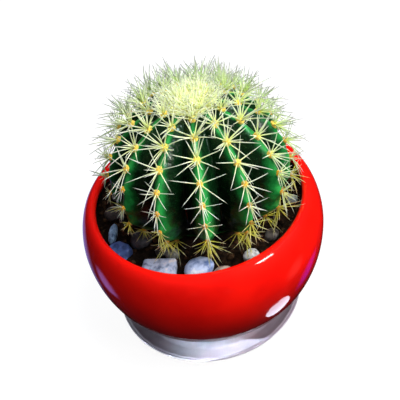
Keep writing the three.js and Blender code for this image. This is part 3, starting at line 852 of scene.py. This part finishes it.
# felted wool: short matted hairs, so it is soft, dull and brightest at its edge
def feltedWool(name, look):
    material, tree = newMaterial(name)
    place = addNode(tree, "TexCoord").outputs["Object"]
    youth = addNode(tree, "Attribute", attribute_name="youth").outputs["Fac"]
    # single fibres are far finer: the felt is drawn as tufts 0.9 mm wide so that it shows
    fibre = addNode(tree, "TexNoise", {"Vector": place, "Scale": features(0.9), "Detail": 4})
    ageing = addNode(tree, "Math", {0: fibre, 1: 0.5, 2: -0.25}, operation="MULTIPLY_ADD")
    age = addNode(tree, "Math", {0: youth, 1: ageing}, operation="ADD", use_clamp=True)
    colour = addNode(tree, "ValToRGB", {"Fac": age}, zip((0.1, 0.45, 0.95), look["colours"]))
    bump = addNode(tree, "Bump", {"Height": fibre, "Strength": 0.6, "Distance": 0.0005})
    return withSurface(material, {
        "Base Color": colour,
        "Roughness": 0.95,
        "Sheen Weight": look["sheen"],
        "Sheen Roughness": 0.5,
        "Normal": bump,
    })


# tapered tubes with a point at the tip: paths is (count, points, 3), radii is (count, points)
def taperedTubes(paths, radii, sides):
    count, steps = paths.shape[:2]
    chord = paths[:, -1] - paths[:, 0]
    chord /= np.linalg.norm(chord, axis=1, keepdims=True)
    other = np.where(np.abs(chord[:, 2:]) < 0.8, [[0, 0, 1.0]], [[1.0, 0, 0]])
    sideways = np.cross(chord, other)
    sideways /= np.linalg.norm(sideways, axis=1, keepdims=True)
    upward = np.cross(sideways, chord)
    angles = roundTurn(sides)
    ring = (np.cos(angles)[None, None, :, None] * sideways[:, None, None, :]
            + np.sin(angles)[None, None, :, None] * upward[:, None, None, :])
    body = paths[:, :-1, None, :] + ring * radii[:, :-1, None, None]
    points = np.concatenate([body.reshape(count, -1, 3), paths[:, -1:], paths[:, :1]], 1).reshape(-1, 3)
    perTube = (steps - 1) * sides + 2
    tip, base, last = perTube - 2, perTube - 1, (steps - 2) * sides
    pattern = []
    for corner in range(last):
        after = corner - corner % sides + (corner + 1) % sides
        pattern.append([corner, after, after + sides, corner + sides])
    for side in range(sides):
        after = (side + 1) % sides
        pattern += [[last + side, last + after, tip], [after, side, base]]
    faces = [[tube * perTube + corner for corner in face] for tube in range(count) for face in pattern]
    share = np.repeat(np.linspace(0, 1, steps)[:-1], sides)
    along = np.tile(np.concatenate([share, [1, 0]]), count)
    return points, faces, along, perTube


# one small uneven ball with its own half sizes
def fluffBall(subdivisions, halves, amount, size, seed):
    bm = bmesh.new()
    bmesh.ops.create_icosphere(bm, subdivisions=subdivisions, radius=1)
    points = np.array([v.co for v in bm.verts])
    faces = [[v.index for v in f.verts] for f in bm.faces]
    bm.free()
    for i, point in enumerate(points):
        grown = 1 + amount * noise.fractal(Vector(point) / size + Vector((seed, 0, 0)), 0.8, 2.2, 3)
        points[i] = point * grown * halves
    return points, faces


def joined(parts):
    points, faces, start = [], [], 0
    for partPoints, partFaces in parts:
        points.append(partPoints)
        faces += [[start + corner for corner in face] for face in partFaces]
        start += len(partPoints)
    return np.vstack(points), faces


# the direction that leans away from an areole's axis, turned from its way down the rib
def leaning(spot, turn, spread):
    return (spot["down"] * math.cos(turn) * math.sin(spread)
            + spot["across"] * math.sin(turn) * math.sin(spread) + spot["axis"] * math.cos(spread))


def makeAreoleWool():
    parts, youths = [], []
    for index, spot in enumerate(areoles):
        fat = mix(*woolLook["padShare"], spot["youth"])
        halves = np.array(woolLook["padHalf"]) * fat
        points, faces = fluffBall(3, halves, woolLook["lump"], woolLook["lumpSize"], index * 7.1)
        turn = np.stack([spot["down"], spot["across"], spot["axis"]])
        parts.append((points @ turn + spot["point"] + spot["axis"] * woolLook["padLift"], faces))
        paths = []
        for _ in range(woolLook["hairs"]):
            turnRound, spread = draw.uniform(0, 2 * math.pi), draw.uniform(*woolLook["hairSpread"])
            way = leaning(spot, turnRound, math.radians(spread))
            root = spot["point"] + spot["axis"] * woolLook["hairLift"] + way * woolLook["hairStart"]
            tip = root + way * draw.uniform(*woolLook["hairLength"]) * fat
            paths.append([root, (root + tip) / 2, tip])
        radii = np.tile(woolLook["hairRadii"], (len(paths), 1))
        parts.append(taperedTubes(np.array(paths), radii, 3)[:2])
        youths.append(np.full(len(points) + len(parts[-1][0]), spot["youth"]))
    points, faces = joined(parts)
    wool = feltedWool("areole wool", woolLook)
    marks = {"youth": np.concatenate(youths)}
    newPiece("areole_wool", fromPlant(points), faces, wool, ["cactus"], marks)


makeAreoleWool()
print("areole wool")

# spines

spineLook = {
    "steps": 8,
    "sides": 6,
    "radius": 0.34,
    "tipShare": 0.3,
    "rootLift": 0.6,
    "bow": (-0.01, 0.07),
    "uneven": (0.9, 1.1),
    # one more lies along the rib below each areole between these latitudes
    "downward": {
        "latitude": (-30, 40),
        "length": (12, 16),
        "spread": (76, 82),
        "swing": (-12, 12),
        "rootLift": 1.2,
        "bow": 0.03,
        "thick": (1.0, 1.3),
    },
    # more fine spines on each areole: pairs are for the ones away from the crown and next to it
    "extra": {
        "count": (1, 13),
        "shadedCount": 10,
        "shadedHeight": (0, 24),
        "lowCount": 5,
        "length": (11, 16),
        "lowLength": 16,
        "uneven": (0.6, 1.12),
        "evenSize": 0.5,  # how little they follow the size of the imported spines
        "spread": (8, 78),
        "radius": 0.33,
        "thick": (0.8, 1.2),
        "lowThick": 0.75,
        "shadedThick": 1.25,
        "bow": 0.07,
        "clearOfSoil": 1.5,
    },
    # root, low, high and tip of an old, a middle, a young and a shaded spine, the last greyed by painted
    # shade
    "colours": [
        ("#b88a1c", "#b4ab2e", "#c0bd48", "#b5ae78"),
        ("#e6bc3c", "#eaf0a4", "#eefad6", "#d2e2c6"),
        ("#e2cc52", "#e2f094", "#ecf8ba", "#ccd2b0"),
        ("#f0e468", "#cfea84", "#b6d096", "#8f928c"),
    ],
}


# a spine is hard keratin-like fibre: pale, slightly glossy, darker and golden where it leaves the wool
def spineHorn():
    material, tree = newMaterial("spine horn")
    place = addNode(tree, "TexCoord").outputs["Object"]
    along, youth, tint, shaded = (addNode(tree, "Attribute", attribute_name=mark).outputs["Fac"]
                                  for mark in ("along", "youth", "tint", "shaded"))
    colour, *others = (addNode(tree, "ValToRGB", {"Fac": along}, zip((0.0, 0.16, 0.5, 0.85), colours))
                       for colours in spineLook["colours"])
    middleAge = addNode(tree, "MapRange", {"Value": youth, "From Min": 0.08, "From Max": 0.3})
    youngAge = addNode(tree, "MapRange", {"Value": youth, "From Min": 0.55, "From Max": 1.0})
    # painted shade: the shaded ramp greys the spines on the side away from the light
    for share, other in zip((middleAge, youngAge, shaded), others):
        colour = addNode(tree, "Mix", {0: share, 6: colour, 7: other}, data_type="RGBA").outputs[2]
    shade = addNode(tree, "MapRange", {"Value": tint, "To Min": 0.82, "To Max": 1.08})
    tinted = addNode(tree, "HueSaturation", {"Value": shade, "Color": colour})
    # the fibres are far finer: they are drawn 0.6 mm wide so that they show
    fibre = addNode(tree, "TexNoise", {"Vector": place, "Scale": features(0.6), "Detail": 2})
    bump = addNode(tree, "Bump", {"Height": fibre, "Strength": 0.2, "Distance": 0.0002})
    return withSurface(material, {
        "Base Color": tinted,
        "Roughness": 0.38,
        "IOR": 1.5,
        "Subsurface Weight": 0.9,
        "Subsurface Radius": (1.0, 0.95, 0.8),
        "Subsurface Scale": 0.002,
        "Normal": bump,
    })


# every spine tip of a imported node, as (tip, direction) in the plant's own frame: a tip stands
# this far out of its neighbours, and all its edges lead back the same way
def packedSpines(node, reachLimit=2.6, facingLimit=0.94):
    back = plantFrame.inverted()
    bm = bmesh.new()
    bm.from_mesh(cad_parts[node].data)
    bmesh.ops.remove_doubles(bm, verts=bm.verts, dist=0.002 * mm)
    found = []
    for vert in bm.verts:
        near = [edge.other_vert(vert).co for edge in vert.link_edges]
        reach = vert.co - sum(near, Vector()) / len(near)
        if reach.length < reachLimit * mm:
            continue
        way = reach.normalized()
        if all((vert.co - other).normalized().dot(way) > facingLimit for other in near):
            found.append((np.array(back @ (vert.co / mm)), np.array(back.to_3x3() @ way)))
    bm.free()
    return found


# one spine, with a tint of its own
def newSpine(root, tip, bow, radius, youth=1.0, shaded=0.0):
    return {"root": root, "tip": tip, "bow": bow, "radius": radius, "youth": youth, "shaded": shaded,
            "tint": draw.random()}


# bent tapered spines from roots to tips, each bowed a little to one side
def makeSpines(name, node, spines):
    roots, tips, bows, thick = (np.array([spine[part] for spine in spines])
                                for part in ("root", "tip", "bow", "radius"))
    t = np.linspace(0, 1, spineLook["steps"])
    paths = (roots[:, None] * (1 - t)[None, :, None] + tips[:, None] * t[None, :, None]
             + bows[:, None] * (4 * t * (1 - t))[None, :, None])
    radii = thick[:, None] * mix(spineLook["tipShare"], 1, (1 - t) ** 0.8)[None, :]
    points, faces, along, perTube = taperedTubes(paths, radii, spineLook["sides"])
    marks = {"along": along}
    for mark in ("youth", "tint", "shaded"):
        marks[mark] = np.repeat([spine[mark] for spine in spines], perTube)
    newPiece(name, fromPlant(points), faces, horn, [node], marks)


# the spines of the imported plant, each from the areole that it points away from
def bodySpines(centreLift=0.8, nearest=3, farthest=26):
    spines = []
    centres = np.array([spot["point"] + spot["axis"] * centreLift for spot in areoles])
    for tip, way in packedSpines("cactus"):
        toCentre = centres - tip
        along = -(toCentre @ way)
        aside = np.linalg.norm(toCentre + along[:, None] * way, axis=1)
        aside[(along < nearest) | (along > farthest)] = np.inf
        spot = areoles[int(np.argmin(aside))]
        root = spot["point"] + spot["axis"] * spineLook["rootLift"]
        reach = tip - root
        lift = spot["axis"] - reach * (spot["axis"] @ reach) / (reach @ reach)
        spines.append(newSpine(
            root, tip, lift * np.linalg.norm(reach) * draw.uniform(*spineLook["bow"]),
            spineLook["radius"] * spot["size"] ** 0.5 * draw.uniform(*spineLook["uneven"]),
            spot["youth"], spot["shaded"],
        ))
    return spines


def downwardSpines():
    look, spines = spineLook["downward"], []
    lowest, highest = look["latitude"]
    for spot in areoles:
        if not lowest < spot["latitude"] < highest:
            continue
        spread, swing = (math.radians(draw.uniform(*look[part])) for part in ("spread", "swing"))
        way = leaning(spot, swing, spread)
        root = spot["point"] + spot["axis"] * look["rootLift"]
        length = draw.uniform(*look["length"]) * spot["light"]
        spines.append(newSpine(
            root, root + way * length, spot["axis"] * length * look["bow"],
            spineLook["radius"] * draw.uniform(*look["thick"]), spot["youth"], spot["shaded"],
        ))
    return spines


def extraSpines():
    look, spines = spineLook["extra"], []
    for spot in areoles:
        upper = float(smoothStep(spot["point"][2], *look["shadedHeight"]))
        count = (mix(*look["count"], spot["crowding"]) + look["lowCount"] * spot["low"]
                 + look["shadedCount"] * spot["shaded"] * upper)
        for _ in range(round(count)):
            turnRound, spread = draw.uniform(0, 2 * math.pi), draw.uniform(*look["spread"])
            way = leaning(spot, turnRound, math.radians(spread))
            size = mix(spot["size"], 1, mix(look["evenSize"], 1, spot["shaded"]))
            length = mix(*look["length"], spot["crowding"]) * size
            length = mix(length, look["lowLength"] * spot["light"], spot["low"])
            length *= draw.uniform(*look["uneven"])
            root = spot["point"] + spot["axis"] * spineLook["rootLift"]
            tip = root + way * length
            bent = np.cross(way, [draw.uniform(-1, 1), draw.uniform(-1, 1), 1]) * look["bow"]
            placed = fromPlant(tip)
            if placed[2] < soilHeight(placed[0], placed[1]) + look["clearOfSoil"]:
                continue
            bow = length * bent * draw.uniform(-1, 1)
            thick = draw.uniform(*look["thick"])
            thick *= mix(1, look["lowThick"], spot["low"]) * mix(1, look["shadedThick"], spot["shaded"])
            spines.append(newSpine(root, tip, bow, look["radius"] * thick, spot["youth"], spot["shaded"]))
    return spines


horn = spineHorn()
makeSpines("cactus_spines", "cactus", bodySpines() + extraSpines() + downwardSpines())
print("spines")

# crown

crownLook = {
    "steps": 120,
    "rows": 30,
    "fluff": 1.2,
    "lumpSize": 2.2,
    "lumpLevel": 0.35,
    "lumpWidth": 0.02,
    "skirt": (1.5, 6),  # how far the wool goes down under its edge
    "spines": 360,
    "length": (3.5, 11),  # at the middle and at the edge
    "tilt": (12, 64),
    "unevenTilt": 26,
    "steepestTilt": 78,
    "unevenLength": (0.7, 1.15),
    "swing": 1.5,
    "radius": 0.33,
    "thick": (0.8, 1.25),
    "bow": 0.5,
    "overEdge": 0.4,
    "scatter": 0.1,
    "sink": 1,
    "packedThick": 0.9,
    "packedBow": 0.7,
    "colours": ("#a5a23c", "#dcdb80", "#f4f2b4"),
    "sheen": 0.5,
    "youth": 0.8,
}


# height of the crown's dome at a distance from the plant's axis
def crownHeight(radius):
    share = np.minimum(1, radius / crown["radius"])
    dome = crown["rise"] * np.sqrt(np.maximum(0, 1 - share ** 2))
    dimple = crown["dip"] * np.exp(-(share / crown["dipWidth"]) ** 2)
    skin = (1 - (radius / plant["crestRadius"]) ** plant["power"]) ** (1 / plant["power"])
    return plant["upperHeight"] * skin + dome - dimple


def makeCrownWool():
    edge, rows = crown["radius"], crownLook["rows"]
    dome = [(radius, crownHeight(radius)) for radius in np.linspace(0.4, edge, rows)]
    skirt = [(edge + 0.2, crownHeight(edge) - drop) for drop in crownLook["skirt"]]
    rings = turned(dome + skirt, crownLook["steps"])
    for row, ring in enumerate(rings):
        for point in ring:
            lump = roughness(point, crownLook["lumpSize"], 3)
            point[2] += crownLook["fluff"] * (lump - crownLook["lumpLevel"]) * (row < rows)
            point[:2] *= 1 + crownLook["lumpWidth"] * lump
    points, faces = skinOver(rings)
    wool = feltedWool("crown wool", crownLook)
    marks = {"youth": np.full(len(points), crownLook["youth"])}
    newPiece("crown_wool", fromPlant(points), faces, wool, ["crown"], marks)


# a random share of one of these values, to either side
def unevenly(part):
    return draw.uniform(-crownLook[part], crownLook[part])


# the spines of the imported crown, each from where it meets the wool
def packedCrownSpines(nearest=4, farthest=22, step=0.25):
    spines = []
    for tip, way in packedSpines("crown"):
        root = tip
        for back in np.arange(nearest, farthest, step):
            root = tip - way * back
            if root[2] < crownHeight(np.hypot(root[0], root[1])) - crownLook["sink"]:
                break
        bow = np.cross(way, [0, 0, 1.0]) * unevenly("packedBow")
        spines.append(newSpine(root, tip, bow, spineLook["radius"] * crownLook["packedThick"]))
    return spines


# and the young ones between them, spread evenly over the crown by the golden angle
def youngCrownSpines():
    spines = []
    golden = math.pi * (3 - math.sqrt(5))
    for i in range(crownLook["spines"]):
        share = math.sqrt((i + 0.5) / crownLook["spines"])
        radius = share * (crown["radius"] + crownLook["overEdge"])
        bearing = i * golden + unevenly("scatter")
        out = np.array([math.cos(bearing), math.sin(bearing), 0])
        swing = bearing + unevenly("swing")
        tilt = mix(*crownLook["tilt"], share ** 1.3) + unevenly("unevenTilt")
        tilt = math.radians(np.clip(tilt, 0, crownLook["steepestTilt"]))
        flat = math.sin(tilt)
        way = np.array([math.cos(swing) * flat, math.sin(swing) * flat, math.cos(tilt)])
        length = mix(*crownLook["length"], share) * draw.uniform(*crownLook["unevenLength"])
        root = out * radius
        root[2] = crownHeight(min(radius, crown["radius"])) - crownLook["sink"]
        bow = np.cross(way, out) * unevenly("bow")
        thick = crownLook["radius"] * draw.uniform(*crownLook["thick"])
        spines.append(newSpine(root, root + way * length, bow, thick))
    return spines


makeCrownWool()
makeSpines("crown_spines", "crown", packedCrownSpines() + youngCrownSpines())
print("crown")

# stones

# look of each stone: main colour, mottling, pale patches, size of the mottling, roughness
stoneLooks = {
    "01": ("#b9c8ea", "#5870a6", "#eef3ff", 6.0, 0.35),
    "02": ("#a9b3cc", "#59627e", "#dccfcd", 3.5, 0.6),
    "03": ("#3c3e43", "#1f2023", "#5b5e66", 3.5, 0.5),
    "04": ("#75756c", "#3e3d38", "#a3a198", 2.0, 0.6),
    "05": ("#34322f", "#1d1b19", "#55504a", 2.0, 0.6),
    "06": ("#7c97b4", "#3a4e6a", "#a9c0d8", 3.0, 0.4),
    "07": ("#465a8e", "#26345a", "#6c82b4", 4.0, 0.4),
    "08": ("#4f4945", "#2b2623", "#746b63", 3.0, 0.6),
    "09": ("#cfd0cf", "#1c1d20", "#eceeec", 3.2, 0.4),
    "10": ("#a08f83", "#5e4f45", "#c4b5a6", 2.5, 0.55),
    "11": ("#4f4a46", "#262220", "#77706a", 2.5, 0.6),
    "12": ("#8a9396", "#4b5254", "#b8c0c2", 2.0, 0.5),
}
# the ones behind the plant are plain greys and a brown
for number, shade in zip(range(13, 18), ("#57514d", "#77776f", "#8c9496", "#57514d", "#77776f")):
    stoneLooks[str(number)] = (shade, "#2c2a28", "#a09c95", 2.5, 0.6)

# broken stones are slabs with flat faces: half sizes, turn and tilt in degrees
brokenStones = {
    "02": ((9.4, 5.4, 3.4), -12, 10),
    "07": ((6.6, 4.6, 3.6), -38, 12),
}

stoneShape = {
    "subdivisions": 5,
    "smoothing": 6,  # rounds of it on a worn stone, and one round on a broken one
    "grain": 0.018,
    "grainSize": 2.6,
    "hollow": 0.02,
    "hollowSize": 6,
    "slabPower": 12,  # of the superellipsoid that a broken stone starts from
    "chips": 4,
    "chipSide": (-0.7, 0.7),
    "chipRise": (-0.2, 0.6),
    "chipReach": (1.08, 1.25),
}


# water-worn pebble: dense stone with a soft polish, clouded and flecked by its minerals
def wornStone(number):
    base, mottle, pale, size, dullness = stoneLooks[number]
    material, tree = newMaterial("river pebble " + number)
    place = addNode(tree, "TexCoord").outputs["Object"]
    cloud = addNode(tree, "TexNoise", {"Vector": place, "Scale": features(size), "Detail": 5,
                                       "Roughness": 0.55, "Distortion": 0.25})
    stops = [(0.34, mottle), (0.5, base), (0.56, base), (0.68, pale)]
    colour = addNode(tree, "ValToRGB", {"Fac": cloud}, stops)
    # mineral grains 0.7 mm wide
    fleck = addNode(tree, "TexNoise", {"Vector": place, "Scale": features(0.7), "Detail": 2})
    salt = addNode(tree, "MapRange", {"Value": fleck, "From Min": 0.62, "From Max": 0.72,
                                      "To Min": 0.0, "To Max": 0.3})
    flecked = addNode(tree, "Mix", {0: salt, 6: colour, 7: mottle}, data_type="RGBA")
    polish = addNode(tree, "MapRange", {"Value": cloud, "To Min": dullness - 0.1,
                                        "To Max": dullness + 0.15})
    bump = addNode(tree, "Bump", {"Height": fleck, "Strength": 0.35, "Distance": 0.0004})
    return withSurface(material, {
        "Base Color": flecked.outputs[2],
        "Roughness": polish,
        "IOR": 1.52,
        "Normal": bump,
    })


# moves the points of a ball out to a slab's flat sides, then breaks some corners off
def breakFlat(bm, halves, turn, tilt):
    chance = random.Random(turn + 500)
    power, cuts = stoneShape["slabPower"], []
    for _ in range(stoneShape["chips"]):
        way = Vector((chance.choice((-1, 1)), chance.uniform(*stoneShape["chipSide"]),
                      chance.uniform(*stoneShape["chipRise"])))
        cuts.append((way.normalized(), chance.uniform(*stoneShape["chipReach"])))
    slabFrame = Matrix.Rotation(math.radians(turn), 3, "Z") @ Matrix.Rotation(math.radians(tilt), 3, "X")
    for vert in bm.verts:
        way = vert.co.normalized()
        reach = sum(abs(part) ** power for part in way) ** (-1 / power)
        for cutWay, cutReach in cuts:
            facing = way.dot(cutWay)
            if facing > 0.2:  # on the side of this chip
                reach = min(reach, cutReach / facing)
        vert.co = slabFrame @ Vector(part * half for part, half in zip(way * reach, halves))


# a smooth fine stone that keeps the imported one's form
def makeStone(number):
    node = "pebble_" + number
    low, high = (np.array(corner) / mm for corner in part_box(node))
    centre = (low + high) / 2
    bm = bmesh.new()
    bm.from_mesh(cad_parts[node].data)
    tree = BVHTree.FromBMesh(bm)
    bm.clear()
    bmesh.ops.create_icosphere(bm, subdivisions=stoneShape["subdivisions"], radius=1)
    if number in brokenStones:
        breakFlat(bm, *brokenStones[number])
    else:
        for vert in bm.verts:
            vert.co = tree.ray_cast(Vector(centre) * mm, vert.co.normalized())[0] / mm
    for _ in range(1 if number in brokenStones else stoneShape["smoothing"]):
        bmesh.ops.smooth_vert(bm, verts=bm.verts, factor=0.5,
                              use_axis_x=True, use_axis_y=True, use_axis_z=True)
    points = np.array([v.co for v in bm.verts])
    faces = [[v.index for v in f.verts] for f in bm.faces]
    bm.free()
    scale = (high - low) / (points.max(0) - points.min(0))
    points = centre + (points - points.mean(0)) * scale
    for i, point in enumerate(points):
        grain = stoneShape["grain"] * roughness(point, stoneShape["grainSize"], 4)
        hollow = stoneShape["hollow"] * abs(roughness(point, stoneShape["hollowSize"], 2))
        points[i] = centre + (point - centre) * (1 + grain - hollow)
    newPiece("stone_" + number, points, faces, wornStone(number), [node])
    return centre, (high - low) / 2


stones = [makeStone(number) for number in stoneLooks]
print("stones:", len(stones))

# potting mix

soil = {
    "steps": 360,
    "surfaceRows": 84,
    "wallRows": 26,
    "wallTop": 71,
    "wallGap": 0.5,
    "floorGap": 0.3,
    "holeOutline": [(22.9, -38.4), (24.8, -33), (26.6, -27), (27.4, -23.5)],
    # big and small grains on the surface, as (height, size)
    "bigGrain": (0.9, 5.5),
    "smallGrain": (0.35, 1.9),
    # under the plant the soil stays this high over its skin at most, out to this reach
    "underHeight": 3,
    "underReach": 30,
    "underStone": 0.9,
    "colours": ("#070504", "#1c130d", "#3d2b1c"),
}

crumbLook = {
    "count": 520,
    "size": (0.5, 1.5),
    "unevenSize": 0.6,
    "turn": 6.28,
    "reach": (33, 59),
    "clearOfStone": 1.05,
    "halves": [(0.8, 1.5), (0.7, 1.1), (0.5, 0.9)],
    "lump": 0.5,
    "lumpSize": 0.8,
    "lift": 0.15,
    "colours": ("#1a110b", "#3a281a", "#6a5138"),
}


# peaty potting mix: nearly black and dull, with lighter brown crumbs 3.2 mm wide
def pottingMix(name, colours):
    material, tree = newMaterial(name)
    place = addNode(tree, "TexCoord").outputs["Object"]
    crumb = addNode(tree, "TexNoise", {"Vector": place, "Scale": features(3.2), "Detail": 6,
                                       "Roughness": 0.7})
    colour = addNode(tree, "ValToRGB", {"Fac": crumb}, zip((0.35, 0.56, 0.74), colours))
    bump = addNode(tree, "Bump", {"Height": crumb, "Strength": 0.8, "Distance": 0.0012})
    return withSurface(material, {
        "Base Color": colour,
        "Roughness": 0.96,
        "IOR": 1.4,
        "Specular IOR Level": 0.25,
        "Normal": bump,
    })


# the soil's surface with its grains, held down under the plant
def grainyHeight(x, y):
    (big, bigSize), (small, smallSize) = soil["bigGrain"], soil["smallGrain"]
    height = soilHeight(x, y)
    height += big * roughness((x, y, 0), bigSize, 4) + small * abs(roughness((x, y, 9), smallSize, 3))
    centre, widest, power = plant["centre"], plant["crestRadius"], plant["power"]
    fromStem = min(widest - 0.1, math.hypot(x - centre[0], y - centre[1]))
    under = centre[2] - plant["lowerHeight"] * (1 - (fromStem / widest) ** power) ** (1 / power)
    return min(height, under + soil["underHeight"]) if fromStem < soil["underReach"] else height


# the distance from a stone's middle, 1 at its edge
def fromStone(x, y, centre, half):
    return math.hypot((x - centre[0]) / half[0], (y - centre[1]) / half[1])


def makeSoil():
    steps = soil["steps"]
    hole = turned(soil["holeOutline"], steps)
    hole = fromPlant(hole.reshape(-1, 3)).reshape(hole.shape)
    edge = bowlRadius(ground["level"]) - bowl["wall"] - soil["wallGap"]
    wall = turned([(edge, 0)], steps)[0]
    shares = np.linspace(0, 1, soil["surfaceRows"])[1:]
    surface = hole[-1][None] + (wall - hole[-1])[None] * shares[:, None, None]
    for ring in surface:
        for point in ring:
            height = grainyHeight(point[0], point[1])
            # pressed down under each stone
            for centre, half in stones:
                reach = fromStone(point[0], point[1], centre, half)
                if reach < 1:
                    bottom = centre[2] - half[2] * math.sqrt(1 - reach * reach) * soil["underStone"]
                    height = min(height, bottom)
            point[2] = height
    sides = [(bowlRadius(height) - bowl["wall"] - soil["wallGap"], height)
             for height in np.linspace(soil["wallTop"], bowl["floor"] + 1, soil["wallRows"])]
    lower = turned(sides + [(sides[-1][0] - 2, bowl["floor"] + soil["floorGap"])], steps)
    points, faces = skinOver(np.concatenate([hole, surface, lower]))
    peat = pottingMix("potting mix", soil["colours"])
    newPiece("potting_mix", points, faces, peat, ["soil"])


def makeCrumbs():
    parts = []
    for index in range(crumbLook["count"]):
        bearing, reach = draw.uniform(0, 2 * math.pi), draw.uniform(*crumbLook["reach"])
        x, y = reach * math.cos(bearing), reach * math.sin(bearing)
        size = draw.uniform(*crumbLook["size"]) * (0.7 + crumbLook["unevenSize"] * draw.random())
        halves = np.array([size * draw.uniform(*half) for half in crumbLook["halves"]])
        turn = np.array(Matrix.Rotation(draw.uniform(0, crumbLook["turn"]), 3, "Z"))
        if any(fromStone(x, y, centre, half) < crumbLook["clearOfStone"] for centre, half in stones):
            continue
        points, faces = fluffBall(2, halves, crumbLook["lump"], crumbLook["lumpSize"], index * 3.7)
        middle = np.array([x, y, grainyHeight(x, y) + size * crumbLook["lift"]])
        parts.append((points @ turn.T + middle, faces))
    points, faces = joined(parts)
    bark = pottingMix("bark crumbs", crumbLook["colours"])
    newPiece("soil_crumbs", points, faces, bark)


makeSoil()
makeCrumbs()
print("potting mix")

flagLights()
